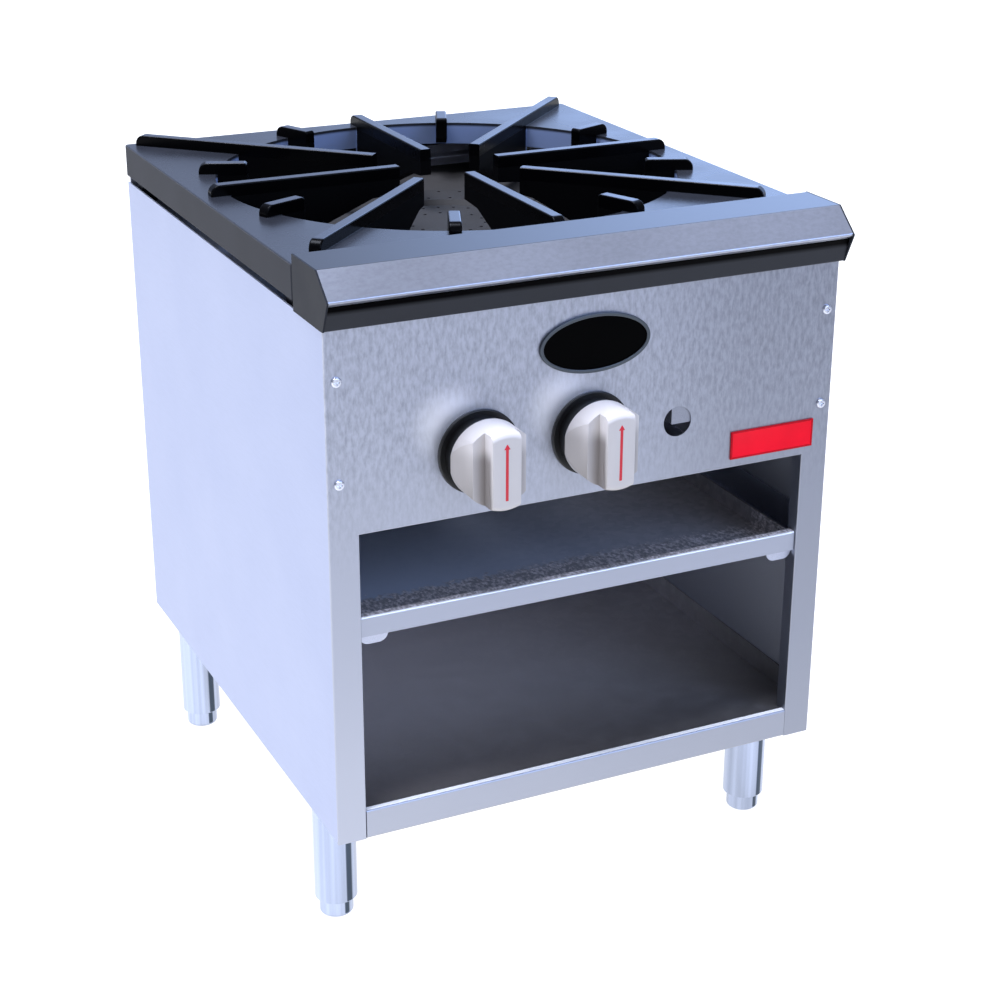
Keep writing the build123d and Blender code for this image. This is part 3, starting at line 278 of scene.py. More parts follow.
def enamelled_sheet(name, colour, roughness, sheen=0.5):
    """Satin enamel on steel: an even colour with a faint orange-peel ripple, dulled in spots by dust."""
    material, tree, shader, place = new_material(name)
    peel = add_node(tree, "TexNoise", {"Vector": pattern_size(tree, place, (2.5, 2.5, 2.5)), "Scale": 1.0})
    dust, tone = mottled(tree, place, (30, 30, 30), colour, 0.93, 1.07, detail=5.0)
    gloss = add_node(tree, "MapRange", {"Value": dust, "From Min": 0.3, "From Max": 0.7,
                     "To Min": roughness - 0.03, "To Max": roughness + 0.05})
    relief = add_node(tree, "Bump", {"Height": peel, "Strength": 0.06, "Distance": 0.1 * MM})
    fill(shader, {"Base Color": tone, "Roughness": gloss, "Normal": relief, "Specular IOR Level": sheen})
    return material


def painted_shadow_above(material, start, end):
    """Paint a shadow above a height: it takes the finish to a dead black there."""
    tree, shader, place = opened(material)
    painted_shadow = along(tree, place, "Z", start, end)
    lay_over(shader, painted_shadow, linear("020203"))
    fill(shader, {"Metallic": painted_shadow})
    return material


def capped_sheet(material, cap, height, roughness):
    """Give a sheet's flat top, which lies at this height, a colour and a gloss of its own, not metallic."""
    tree, shader, place = opened(material)
    flat = along(tree, place, "Z", height - 0.3 * MM, height - 0.1 * MM)
    below = shader.inputs["Roughness"].links[0].from_socket
    metal = add_node(tree, "Math", {0: 1.0, 1: flat}, operation="SUBTRACT")
    dull = add_node(tree, "Mix", {"Factor": flat, NUMBER_A: below, NUMBER_B: roughness})
    lay_over(shader, flat, cap)
    fill(shader, {"Metallic": metal, "Roughness": dull})


def painted_light_across(material, start, end, left, right):
    """Paint light and shade across a sheet: its tone changes slowly between two places along X,
    from one factor to another.
    """
    tree, shader, place = opened(material)
    lay_over(shader, 1.0, along(tree, place, "X", start, end, left, right, "SMOOTHSTEP"), "MULTIPLY")


def painted_reflections(material, reflected_colour, spots, radius):
    """Paint pale soft round spots on a sheet, as painted reflections."""
    tree, shader, place = opened(material)
    for spot in spots:
        away = add_node(tree, "VectorMath", {0: place, 1: tuple(spot)}, operation="DISTANCE")
        near = add_node(tree, "MapRange", {"Value": away, "From Min": radius, "From Max": 0.0},
                        interpolation_type="SMOOTHSTEP")
        lay_over(shader, near, reflected_colour)


def lined_sheet(material, lining, reach):
    """Leave a sheet's inner side, less than this reach from the middle, dull and dirtier to the front."""
    tree, shader, place = opened(material)
    across = add_node(tree, "SeparateXYZ", {"Vector": place}).outputs["X"]
    width = add_node(tree, "Math", {0: across}, operation="ABSOLUTE")
    inside = add_node(tree, "Math", {0: width, 1: reach}, operation="LESS_THAN")
    clean = along(tree, place, "Y", PANEL_FACE, BACK_FACE, 0.6, 1.0)
    inner = add_node(tree, "Mix", {"Factor": 1.0, COLOUR_A: lining, COLOUR_B: clean}, data_type="RGBA",
                     blend_type="MULTIPLY")
    metal = add_node(tree, "MapRange", {"Value": inside, "To Min": 1.0, "To Max": 0.2})
    lay_over(shader, inside, inner)
    fill(shader, {"Metallic": metal})


def darkened_to_front(material, front):
    """Darken a shelf, most along its front edge."""
    tree, shader, place = opened(material)
    lay_over(shader, 1.0, along(tree, place, "Y", front, front + 260 * MM, 0.14, 1.0), "MULTIPLY")
    return material


def tray_sheet(name, lip_colour, floor_colour, front, top):
    """Galvanised crumb tray: a smooth lip with a painted highlight along its top edge, a speckled band behind
    it where crumbs are scraped out, and a dull spangled floor with painted light at the left."""
    material, tree, shader, place = new_material(name)
    level = crystals(tree, place, 6)
    spangled = add_node(tree, "Mix", {"Factor": level, COLOUR_A: shade(floor_colour, 0.88),
                        COLOUR_B: shade(floor_colour, 1.12)}, data_type="RGBA")
    relief = add_node(tree, "Bump", {"Height": level, "Strength": 0.05, "Distance": 0.05 * MM})
    # the scraped band ends in a ragged edge
    depth = add_node(tree, "SeparateXYZ", {"Vector": place}).outputs["Y"]
    ragged = add_node(tree, "TexNoise", {"Vector": pattern_size(tree, place, (5, 5, 5)), "Scale": 1.0})
    edge = add_node(tree, "Math", {0: ragged, 1: -30 * MM, 2: depth}, operation="MULTIPLY_ADD")
    band = add_node(tree, "MapRange", {"Value": edge, "From Min": front + 52 * MM,
                    "From Max": front + 42 * MM})
    scraped = mottled(tree, place, (2.6, 4.5, 2.6), floor_colour, 0.9, 2.2, start=0.42, end=0.66,
                      rough=0.6)[1]
    # painted highlight: a pale line along the lip's top edge
    painted_highlight_band = along(tree, place, "Z", top - 1.4 * MM, top - 1.0 * MM)
    lip = add_node(tree, "Mix", {"Factor": painted_highlight_band, COLOUR_A: lip_colour, COLOUR_B: linear("FAFBFF")},
                   data_type="RGBA")
    lip_back = (front + 1.2 * MM, front + 2 * MM)
    fill(shader, {"Base Color": spangled, "Roughness": 0.5, "Normal": relief,
                  "Metallic": along(tree, place, "Y", *lip_back, 0.9, 0.3)})
    # painted light: the floor paled towards the left wall
    painted_light_at_left(shader, place, linear("B8C4DA"), 0.95)
    lay_over(shader, band, scraped)
    lay_over(shader, along(tree, place, "Y", *lip_back, 1.0, 0.0), lip)
    return material


def tube_with_painted_reflection(name, colour, dark_reflection_colour):
    """Polished tube. Polishing leaves soft upright streaks, and a painted dark reflection runs as a line down
    the side that faces the front right."""
    material, tree, shader, place = new_material(name)
    tone = mottled(tree, place, (5, 5, 400), colour, 0.86, 1.08, start=0.35, end=0.65, detail=1.0)[1]
    facing = place.node.outputs["Normal"]
    aligned = add_node(tree, "VectorMath", {0: facing, 1: (0.32, -0.948, 0)}, operation="DOT_PRODUCT")
    dark_reflection = add_node(tree, "MapRange", {"Value": aligned, "From Min": 0.98, "From Max": 0.994},
                    interpolation_type="SMOOTHSTEP")
    fill(shader, {"Base Color": tone, "Metallic": 1.0, "Roughness": 0.18})
    # painted dark reflection down the side facing the front right
    lay_over(shader, dark_reflection, dark_reflection_colour)
    return material


def plain_metal(name, colour, roughness):
    """A turned, drawn or plated metal, whose fine tool marks are about half a millimetre apart."""
    material, tree, shader, place = new_material(name)
    marks, tone = mottled(tree, place, (0.5, 0.5, 0.5), colour, 0.88, 1.06)
    relief = add_node(tree, "Bump", {"Height": marks, "Strength": 0.05, "Distance": 0.05 * MM})
    fill(shader, {"Base Color": tone, "Metallic": 1.0, "Roughness": roughness, "Normal": relief})
    return material


def grate_iron(name, deck_colour, finger_colour, roughness):
    """Enamelled cast iron. The deck keeps a dark glossy enamel and its skirt is drier. The opening's wall
    is painted pale blue as painted light, heat has burnt the fingers black, and pots have polished the
    fingers' tops, whose lighter colour is partly that wear and partly a painted highlight.
    The sand mould leaves a fine grit under the gloss."""
    material, tree, shader, place = new_material(name)
    centred = add_node(tree, "VectorMath", {0: place, 1: tuple(GRATE_MIDDLE)}, operation="SUBTRACT")
    flat = add_node(tree, "VectorMath", {0: centred, 1: (1, 1, 0)}, operation="MULTIPLY")
    radius = add_node(tree, "VectorMath", {0: flat}, operation="LENGTH")
    # masks of the opening's wall, for painted light, of what is burnt, and of the polished and highlit tops
    wall_band = 1.5 * MM
    round_wall = add_node(tree, "Math", {0: radius, 1: ROUND_OPENING, 2: wall_band}, operation="COMPARE")
    under = along(tree, place, "Z", DECK_TOP - 4 * MM, DECK_TOP - 2 * MM, 1.0, 0.0)
    wall = add_node(tree, "Math", {0: round_wall, 1: under}, operation="MULTIPLY")
    inside = add_node(tree, "Math", {0: radius, 1: ROUND_OPENING - wall_band}, operation="LESS_THAN")
    raised = along(tree, place, "Z", DECK_TOP + 0.2 * MM, DECK_TOP + 0.5 * MM)
    burnt = add_node(tree, "Math", {0: inside, 1: raised}, operation="MAXIMUM")
    rubbed_and_highlit = along(tree, place, "Z", GRATE_HIGH.z - 0.3 * MM, GRATE_HIGH.z - 0.1 * MM)
    cloud, tone = mottled(tree, place, (60, 60, 60), deck_colour, 0.88, 1.12, detail=4.0)
    # gloss and sheen: dry on the skirt, glossy on the deck, dead on the burnt parts and bright on the tops
    deck_edge = (DECK_TOP - 1.5 * MM, DECK_TOP - 0.5 * MM)
    gloss = add_node(tree, "MapRange", {"Value": cloud, "From Min": 0.3, "From Max": 0.7,
                     "To Min": roughness - 0.04, "To Max": roughness + 0.05})
    dull = add_node(tree, "Mix", {"Factor": along(tree, place, "Z", *deck_edge), NUMBER_A: 0.55,
                    NUMBER_B: gloss})
    sheen = along(tree, place, "Z", *deck_edge, 0.12, 0.5)
    for share, level in ((burnt, 0.05), (rubbed_and_highlit, 0.8)):
        sheen = add_node(tree, "Mix", {"Factor": share, NUMBER_A: sheen, NUMBER_B: level})
    sand = add_node(tree, "TexNoise", {"Vector": pattern_size(tree, place, (1.2, 1.2, 1.2)),
                    "Scale": 1.0, "Detail": 3.0})
    relief = add_node(tree, "Bump", {"Height": sand, "Strength": 0.08, "Distance": 0.1 * MM})
    fill(shader, {"Base Color": tone, "Roughness": dull, "Specular IOR Level": sheen, "Normal": relief})
    # painted light on the opening's wall, burnt black, and lighter tops: partly wear, partly a painted
    # highlight
    lay_over(shader, wall, linear("7E8FB4"))
    lay_over(shader, burnt, finger_colour)
    lay_over(shader, rubbed_and_highlit, linear("262A34"))
    return material


def moulded_plastic(name, colour, roughness):
    """Compression-moulded thermoset: glossy, with a faint flow mottle under the gloss."""
    material, tree, shader, place = new_material(name)
    flow, tone = mottled(tree, place, (12, 12, 12), colour, 0.96, 1.03, start=0.0, end=1.0, detail=3.0)
    relief = add_node(tree, "Bump", {"Height": flow, "Strength": 0.03, "Distance": 0.2 * MM})
    fill(shader, {"Base Color": tone, "Roughness": roughness, "Normal": relief})
    return material


def shaded_beside_grips(material, middle, spacing, grip, front):
    """Paint shade on the moulding of two knobs this far apart, on both sides of the grip and below the crown.
    """
    tree, shader, place = opened(material)
    centred = add_node(tree, "VectorMath", {0: place, 1: tuple(middle)}, operation="SUBTRACT")
    away = add_node(tree, "SeparateXYZ", {"Vector": centred}).outputs["X"]
    either = add_node(tree, "Math", {0: away}, operation="ABSOLUTE")
    nearest = add_node(tree, "Math", {0: either, 1: spacing / 2}, operation="SUBTRACT")
    beside = add_node(tree, "Math", {0: nearest}, operation="ABSOLUTE")
    hollow = add_node(tree, "MapRange", {"Value": beside, "From Min": grip / 2 - 0.4 * MM,
                      "From Max": grip / 2})
    fading = add_node(tree, "MapRange", {"Value": beside, "From Min": grip / 2,
                      "From Max": grip / 2 + 12 * MM, "To Min": 1.0, "To Max": 0.35})
    low = along(tree, centred, "Z", 20 * MM, 6 * MM, curve="SMOOTHSTEP")
    deep = along(tree, centred, "Y", front - middle.y + 1 * MM, front - middle.y + 5 * MM)
    shade_mask = hollow
    for limit in (fading, low, deep):
        shade_mask = add_node(tree, "Math", {0: shade_mask, 1: limit}, operation="MULTIPLY")
    # painted shade in the hollows beside each grip
    lay_over(shader, shade_mask, linear("857F7C"))


# ---------------------------------------------------------------- modelling tools
def clear_selection():
    """Leave edit mode and deselect everything, so that an operator acts on the new piece alone."""
    if bpy.context.mode != "OBJECT":
        bpy.ops.object.mode_set(mode="OBJECT")
    bpy.ops.object.select_all(action="DESELECT")


def pick(piece):
    """Make one piece the only selected one and the active one."""
    clear_selection()
    bpy.context.view_layer.objects.active = piece
    piece.select_set(True)


def select_faces(wanted):
    """Enter edit mode, and select the faces whose middle passes a test and nothing else."""
    bpy.ops.object.mode_set(mode="EDIT")
    bpy.ops.mesh.select_mode(type="FACE")
    bpy.ops.mesh.select_all(action="DESELECT")
    bpy.ops.object.mode_set(mode="OBJECT")
    for face in bpy.context.object.data.polygons:
        face.select = wanted(face.center)
    bpy.ops.object.mode_set(mode="EDIT")


def draw_out(y, z=0.0):
    """Extrude the selected faces this far along Y and Z."""
    bpy.ops.mesh.extrude_region_move(TRANSFORM_OT_translate={"value": (0, y, z)})


def cut_away(piece, cutter):
    """Cut one shape out of another, and remove the cutter."""
    pick(piece)
    cut = piece.modifiers.new("Cut", "BOOLEAN")
    cut.operation = "DIFFERENCE"
    cut.solver = "EXACT"
    cut.object = cutter
    bpy.ops.object.modifier_apply(modifier=cut.name)
    bpy.data.objects.remove(cutter)


def round_edges(piece, width, segments, angle):
    """Round every edge sharper than an angle."""
    pick(piece)
    rounding = piece.modifiers.new("Edges", "BEVEL")
    rounding.width = width
    rounding.segments = segments
    rounding.limit_method = "ANGLE"
    rounding.angle_limit = math.radians(angle)
    bpy.ops.object.modifier_apply(modifier=rounding.name)


def place_block(middle, size, turn=0.0):
    """Add a cube of this size as a start or as a cutter, turned about Z."""
    clear_selection()
    bpy.ops.mesh.primitive_cube_add(size=1, location=middle, rotation=(0, 0, turn), scale=size)
    return bpy.context.object


def place_bar(middle, radius, length, vertices):
    """Add a round bar along Y as a start or as a cutter."""
    clear_selection()
    bpy.ops.mesh.primitive_cylinder_add(vertices=vertices, radius=radius, depth=length, location=middle,
                                        rotation=FACING_FRONT)
    return bpy.context.object


def finish_piece(piece, name, materials, body, slot, *nodes):
    """Apply the piece's place, smooth it, and tie it to its body, its finish and the nodes it stands for."""
    pick(piece)
    bpy.ops.object.transform_apply()
    bpy.ops.object.mode_set(mode="EDIT")
    bpy.ops.mesh.select_all(action="SELECT")
    bpy.ops.mesh.remove_doubles(threshold=0.005 * MM)
    bpy.ops.mesh.normals_make_consistent(inside=False)
    bpy.ops.object.mode_set(mode="OBJECT")
    bpy.ops.object.shade_smooth_by_angle(angle=math.radians(32))
    piece.name = name
    piece.data.name = name
    for material in materials:
        if material.name not in piece.data.materials:
            piece.data.materials.append(material)
    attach(piece, body)
    if nodes:
        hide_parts(*nodes)


def copy_piece(piece, shift):
    """Copy a finished shape with a mesh of its own, and move it."""
    pick(piece)
    bpy.ops.object.duplicate(linked=False)
    bpy.ops.transform.translate(value=shift)
    bpy.ops.object.transform_apply()
    return bpy.context.object


# ---------------------------------------------------------------- operators
class RANGE_OT_cabinet(bpy.types.Operator):
    """Finish the cabinet's outer sheet: sides, front, rail, ledge and back"""
    bl_idname = "range.cabinet"
    bl_label = "Cabinet Sheet"

    def execute(self, context):
        colours = context.scene.range_colours
        # satin stainless: a soft even sheen, on which the rolling hardly shows, and dull inner faces
        satin = rolled_sheet("Stainless_satin", colours.side, (18, 18, 0.5), contrast=0.03, roughness=0.45,
                             bump=0.04)
        lined_sheet(satin, colours.lining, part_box("side_panel_right")[1].x - 0.4 * MM)
        # rolled stainless: upright flecks up to 3 mm wide and 9 mm tall, wiped smooth low down, and a pale
        # painted reflection at the upper left of each knob
        upright = rolled_sheet("Stainless_rolled_upright", colours.front, (3.2, 3.2, 9.0), contrast=0.2,
                               roughness=0.4, bump=0.1, plain_below=400 * MM)
        # painted shade: the front sheet darker towards the right
        painted_light_across(upright, 0.0, 160 * MM, left=1.02, right=0.8)
        knobs = [sum(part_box(f"knob_{side}"), Vector()) / 2 for side in (LEFT, RIGHT)]
        spots = [Vector((knob.x - 24 * MM, PANEL_FACE, knob.z + 26 * MM)) for knob in knobs]
        painted_reflections(upright, linear("F8FAFF"), spots, radius=40 * MM)
        # the same sheet, wiped smooth, with its top flange painted white as a painted highlight
        rail = rolled_sheet("Stainless_rolled_rail", colours.front, (3.2, 3.2, 9.0), contrast=0.05,
                            roughness=0.4, bump=0.05, plain_below=600 * MM)
        # painted shade: the rail a little darker towards the right
        painted_light_across(rail, -200 * MM, 200 * MM, left=0.92, right=0.86)
        capped_sheet(rail, linear("FFFFFF"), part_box("bottom_rail")[1].z, roughness=0.5)
        # the same sheet cut the other way, so its faint flecks lie along the slope; its flat top is enamelled
        sloped = rolled_sheet("Stainless_rolled_ledge", colours.front, (5.0, 3.0, 3.0), contrast=0.08,
                              roughness=0.34, bump=0.08)
        # painted light: the slope lighter towards the right
        painted_light_across(sloped, -220 * MM, 220 * MM, left=0.85, right=1.12)
        capped_sheet(sloped, colours.enamel, LEDGE_TOP, roughness=0.28)
        # galvanised steel, dry inside: a dull grey with faint crystals about 9 mm across
        back = galvanised_sheet("Steel_galvanised_back", colours.lining, spangle=9.0, contrast=0.08,
                                lit_colour=colours.lining, lit_share=0.0)
        dress(satin, "side_panel_left", "side_panel_right")
        dress(back, "back_panel")
        dress(upright, "front_panel")
        dress(rail, "bottom_rail")
        dress(sloped, "front_ledge")
        return {"FINISHED"}


class RANGE_OT_bay(bpy.types.Operator):
    """Finish the sheet inside: shelf, tray, runners and brackets"""
    bl_idname = "range.bay"
    bl_label = "Bay Sheet"

    def execute(self, context):
        colours = context.scene.range_colours
        # galvanised steel gone dull: crystals about 9 mm across, painted light at the left, darker to the
        # front
        shelf = galvanised_sheet("Steel_galvanised_dull", colours.galvanised, spangle=9.0, contrast=0.10,
                                 lit_colour=linear("F4EBE8"), lit_share=0.95)
        dress(darkened_to_front(shelf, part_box("bottom_shelf")[0].y), "bottom_shelf")
        # galvanised strip: a plain pale grey with a soft sheen
        dress(plain_metal("Steel_galvanised_bright", linear("C4C8D6"), 0.5), "tray_runner_left",
              "tray_runner_right")
        # a darker copy of the strip, as painted shade, for the brackets and straps in the shade behind the
        # panel
        dress(plain_metal("Steel_galvanised_shaded", linear("9DA0AA"), 0.5), "manifold_bracket_left",
              "manifold_bracket_right", "pipe_straps")
        # galvanised steel after long use: a painted highlight on the lip, speckled behind it and dull on the
        # floor
        low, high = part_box("crumb_tray")
        dress(tray_sheet("Steel_galvanised_tray", colours.front, colours.tray, low.y, high.z), "crumb_tray")
        return {"FINISHED"}


class RANGE_OT_grate(bpy.types.Operator):
    """Finish the cast grate, the ledge's dark strip and its end plates"""
    bl_idname = "range.grate"
    bl_label = "Top Grate and Ledge"

    def execute(self, context):
        colours = context.scene.range_colours
        # enamelled cast iron: a dark gloss on the deck, painted light on the opening's wall, black fingers,
        # and painted highlights on the polished tops
        dress(grate_iron("Cast_iron_enamelled", colours.iron, colours.finger, roughness=0.26), "top_grate")
        # satin enamel: an even near-black that hardly mirrors
        dress(enamelled_sheet("Enamel_black_satin", colours.enamel, 0.45, sheen=0.05), "ledge_end_left",
              "ledge_end_right")
        # the lower strip's near-black is painted shade under the ledge's nose, with a painted shadow at its
        # top
        strip = enamelled_sheet("Strip_painted_shade", colours.enamel, 0.4, sheen=0.2)
        dress(painted_shadow_above(strip, NOSE_UNDERSIDE - 8 * MM, NOSE_UNDERSIDE - 4 * MM), "ledge_trim")
        return {"FINISHED"}


class RANGE_OT_burners(bpy.types.Operator):
    """Finish the burner deck, the burners, their bars and the pilot burner"""
    bl_idname = "range.burners"
    bl_label = "Burners"

    def execute(self, context):
        colours = context.scene.range_colours
        # aluminised steel, heated until its shine has gone: a dry brown-black
        deck = heat_dulled("Steel_aluminised_heated", colours.deck_plate, metallic=0.2, roughness=0.7,
                           grit=1.0, bump=0.1)
        dress(deck, "burner_deck")
        # bare cast iron: the sand mould's grit shows under a dry brown-black skin
        cast = heat_dulled("Cast_iron_bare", colours.burner, metallic=0.2, roughness=0.75, grit=0.9, bump=0.4)
        dress(cast, "outer_burner", "inner_burner")
        # steel as it left the mill: smoother, and still metallic under its scale
        mill = heat_dulled("Steel_mill_finish", colours.burner, metallic=0.8, roughness=0.5, grit=0.6,
                           bump=0.1)
        dress(mill, "burner_bar_front", "burner_bar_rear", "pilot_burner")
        return {"FINISHED"}


class RANGE_OT_gas_train(bpy.types.Operator):
    """Finish the pipework, valves, shutters and pilot"""
    bl_idname = "range.gas_train"
    bl_label = "Gas Train"

    def execute(self, context):
        colours = context.scene.range_colours
        # turned brass: warm yellow with small sharp highlights
        dress(plain_metal("Brass_turned", colours.brass, 0.28), "gas_valve_outer", "gas_valve_inner",
              "orifice_outer", "orifice_inner", "pilot_valve")
        # zinc plate: a pale bluish grey with a soft shine
        dress(plain_metal("Steel_zinc_plated", colours.zinc, 0.35), "air_shutter_outer", "air_shutter_inner",
              "valve_stem_left", "valve_stem_right", "leg_screws",
              *[f"leg_plate_{end}_{side}" for end in ("front", "rear") for side in (LEFT, RIGHT)])
        # zinc-grey paint on pipe: plain and satin
        dress(enamelled_sheet("Pipe_zinc_grey", linear("5C6068"), 0.5), "gas_manifold", "manifold_cap",
              "pipe_elbow", "supply_pipe")
        # drawn aluminium: a pale, even, soft shine
        dress(plain_metal("Aluminium_drawn", linear("C9CCD2"), 0.3), "pilot_tube")
        return {"FINISHED"}


class RANGE_OT_knobs(bpy.types.Operator):
    """Model the two knobs, each with a red index bar, and finish their bezels"""
    bl_idname = "range.knobs"
    bl_label = "Knobs"

    def execute(self, context):
        colours = context.scene.range_colours
        sizes = context.scene.range_sizes
        # ivory thermoset has a warm moulded gloss, the red paint fill is satin, and phenolic is a deep black
        ivory = moulded_plastic("Thermoset_ivory", colours.knob, 0.32)
        red = moulded_plastic("Paint_red_fill", colours.index, 0.4)
        # the black bezels stand partly for each knob's shadow and dark reflection on the panel, as painted
        # shade
        dress(moulded_plastic("Phenolic_black", colours.bezel, 0.4), "knob_bezel_left", "knob_bezel_right")
        low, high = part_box("knob_left")
        middle = (low + high) / 2
        radius = (high.z - low.z) / 2
        front, back = low.y, high.y
        knob = self.shape_knob(middle, radius, front, back, sizes)
        bar = self.shape_index(middle, front, radius, sizes.index_width)
        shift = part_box("knob_right")[0] - low
        # painted shade in the hollows beside each knob's grip
        shaded_beside_grips(ivory, middle + shift / 2, shift.x, sizes.grip_width, front)
        second_knob, second_bar = copy_piece(knob, shift), copy_piece(bar, shift)
        finish_piece(knob, "knob_moulded_left", [ivory], "left_knob", "ivory_knob", "knob_left")
        finish_piece(second_knob, "knob_moulded_right", [ivory], "right_knob", "ivory_knob", "knob_right")
        finish_piece(bar, "knob_index_left", [red], "left_knob", "ivory_knob")
        finish_piece(second_bar, "knob_index_right", [red], "right_knob", "ivory_knob")
        return {"FINISHED"}

    def shape_knob(self, middle, radius, front, back, sizes):
        """Turn a round blank into a knob: crown, cut sides, hollow back and soft edges."""
        knob = place_bar(middle, radius, back - front, vertices=96)
        bpy.ops.object.transform_apply()
        select_faces(lambda spot: spot.y < front + ON_PLANE)
        bpy.ops.mesh.region_to_loop()
        bpy.ops.mesh.bevel(offset=sizes.crown_round, segments=8, affect="EDGES")
        # the back is hollow round a boss
        wall, boss, hollow = 3.5 * MM, 9 * MM, 3 * MM
        select_faces(lambda spot: spot.y > back - ON_PLANE)
        bpy.ops.mesh.inset(thickness=wall)
        draw_out(-hollow)
        bpy.ops.mesh.inset(thickness=radius - wall - boss)
        draw_out(hollow)
        half_grip = sizes.grip_width / 2
        draft = math.radians(-1.5)      # the grip widens a little to the back
        ledge_depth = 13.2 * MM         # from the grip's face back to the ledge beside it
        ledge_width = 11 * MM           # from the grip out to where the slope starts
        tall = 90 * MM                  # cutters reach past the knob above and below
        for side in (-1, 1):
            # the ledge beside the grip, and the slope from it out to the back edge
            outside = side * (half_grip + 0.4 * MM + 20 * MM)
            ledge = place_block((middle.x + outside, front + ledge_depth - 20 * MM, middle.z),
                                (40 * MM, 40 * MM, tall), side * draft)
            cut_away(knob, ledge)
            start = Vector((side * (half_grip + ledge_width), ledge_depth))
            end = Vector((side * (radius - 0.8 * MM), back - front))
            line = (end - start).normalized()
            outward = Vector((side * abs(line.y), -abs(line.x)))
            centre = (start + end) / 2 + outward * 15 * MM
            slope = place_block((middle.x + centre.x, front + centre.y, middle.z), (30 * MM, 34 * MM, tall),
                                math.atan2(outward.y, outward.x))
            cut_away(knob, slope)
        # the stem's socket
        floor, length, socket_radius = front + 14 * MM, 50 * MM, 4.1 * MM
        socket = place_bar((middle.x, floor + length / 2, middle.z), socket_radius, length, vertices=48)
        cut_away(knob, socket)
        round_edges(knob, sizes.moulded_edge, segments=3, angle=28)
        return knob

    def shape_index(self, middle, front, radius, width):
        """A thin bar with a pointed top, proud of the grip's face by a hair."""
        drop, length = 2 * MM, 1.3 * radius
        bar = place_block((middle.x, front + 0.2 * MM, middle.z - drop), (width, 0.8 * MM, length))
        bpy.ops.object.transform_apply()
        top = middle.z - drop + length / 2
        select_faces(lambda spot: spot.z > top - ON_PLANE)
        for rise, factor in ((0, 2.2), (4 * MM, 0.12)):
            draw_out(0, rise)
            bpy.ops.transform.resize(value=(factor, 1, 1))
        round_edges(bar, 0.15 * MM, segments=2, angle=30)
        return bar


class RANGE_OT_screws(bpy.types.Operator):
    """Model the screws of the front panel and of the back panel, each with a cross recess"""
    bl_idname = "range.screws"
    bl_label = "Panel Screws"

    def execute(self, context):
        sizes = context.scene.range_sizes
        # bright zinc plate: each head is a small sharp glint with a dark cross
        bright = plain_metal("Steel_screw_bright", context.scene.range_colours.zinc, 0.3)
        self.set_out("front_screws", PANEL_FACE, -1, 2, bright, sizes)
        self.set_out("rear_screws", BACK_FACE, 1, 4, bright, sizes)
        return {"FINISHED"}

    def shape_screw(self, across, height, face, outward, sizes):
        """A pan-head screw with a cross recess, its head on a sheet's face; outward is -1 to the front."""
        head, shank_radius, shank_length = 2.2 * MM, 2.3 * MM, 5.5 * MM
        recess_length, recess_depth = 4.4 * MM, 2.4 * MM
        screw = place_bar((across, face + outward * head / 2, height), sizes.head_radius, head, vertices=32)
        bpy.ops.object.transform_apply()
        select_faces(lambda spot: outward * (spot.y - face) > head - ON_PLANE)
        bpy.ops.mesh.region_to_loop()
        bpy.ops.mesh.bevel(offset=1.5 * MM, segments=5, affect="EDGES")
        select_faces(lambda spot: abs(spot.y - face) < ON_PLANE)
        bpy.ops.mesh.inset(thickness=sizes.head_radius - shank_radius)
        draw_out(-outward * shank_length)
        for long_way in (0, 2):
            size = [sizes.recess_width, recess_depth, sizes.recess_width]
            size[long_way] = recess_length
            cut_away(screw, place_block((across, face + outward * head, height), size))
        return screw

    def set_out(self, node, face, outward, rows, material, sizes):
        """Place like screws in two columns, inside the box that their CAD node fills."""
        low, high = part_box(node)
        edge = sizes.head_radius
        left, right = low.x + edge, high.x - edge
        bottom, top = low.z + edge, high.z - edge
        first = self.shape_screw(left, bottom, face, outward, sizes)
        pieces = [first]
        for column in (left, right):
            for row in range(rows):
                height = bottom + (top - bottom) * row / (rows - 1)
                if (column, row) != (left, 0):
                    pieces.append(copy_piece(first, (column - left, 0, height - bottom)))
        clear_selection()
        for piece in pieces:
            piece.select_set(True)
        bpy.context.view_layer.objects.active = first
        bpy.ops.object.join()
        finish_piece(first, node.replace("screws", "screws_recessed"), [material], "cabinet", "plated_steel",
                     node)


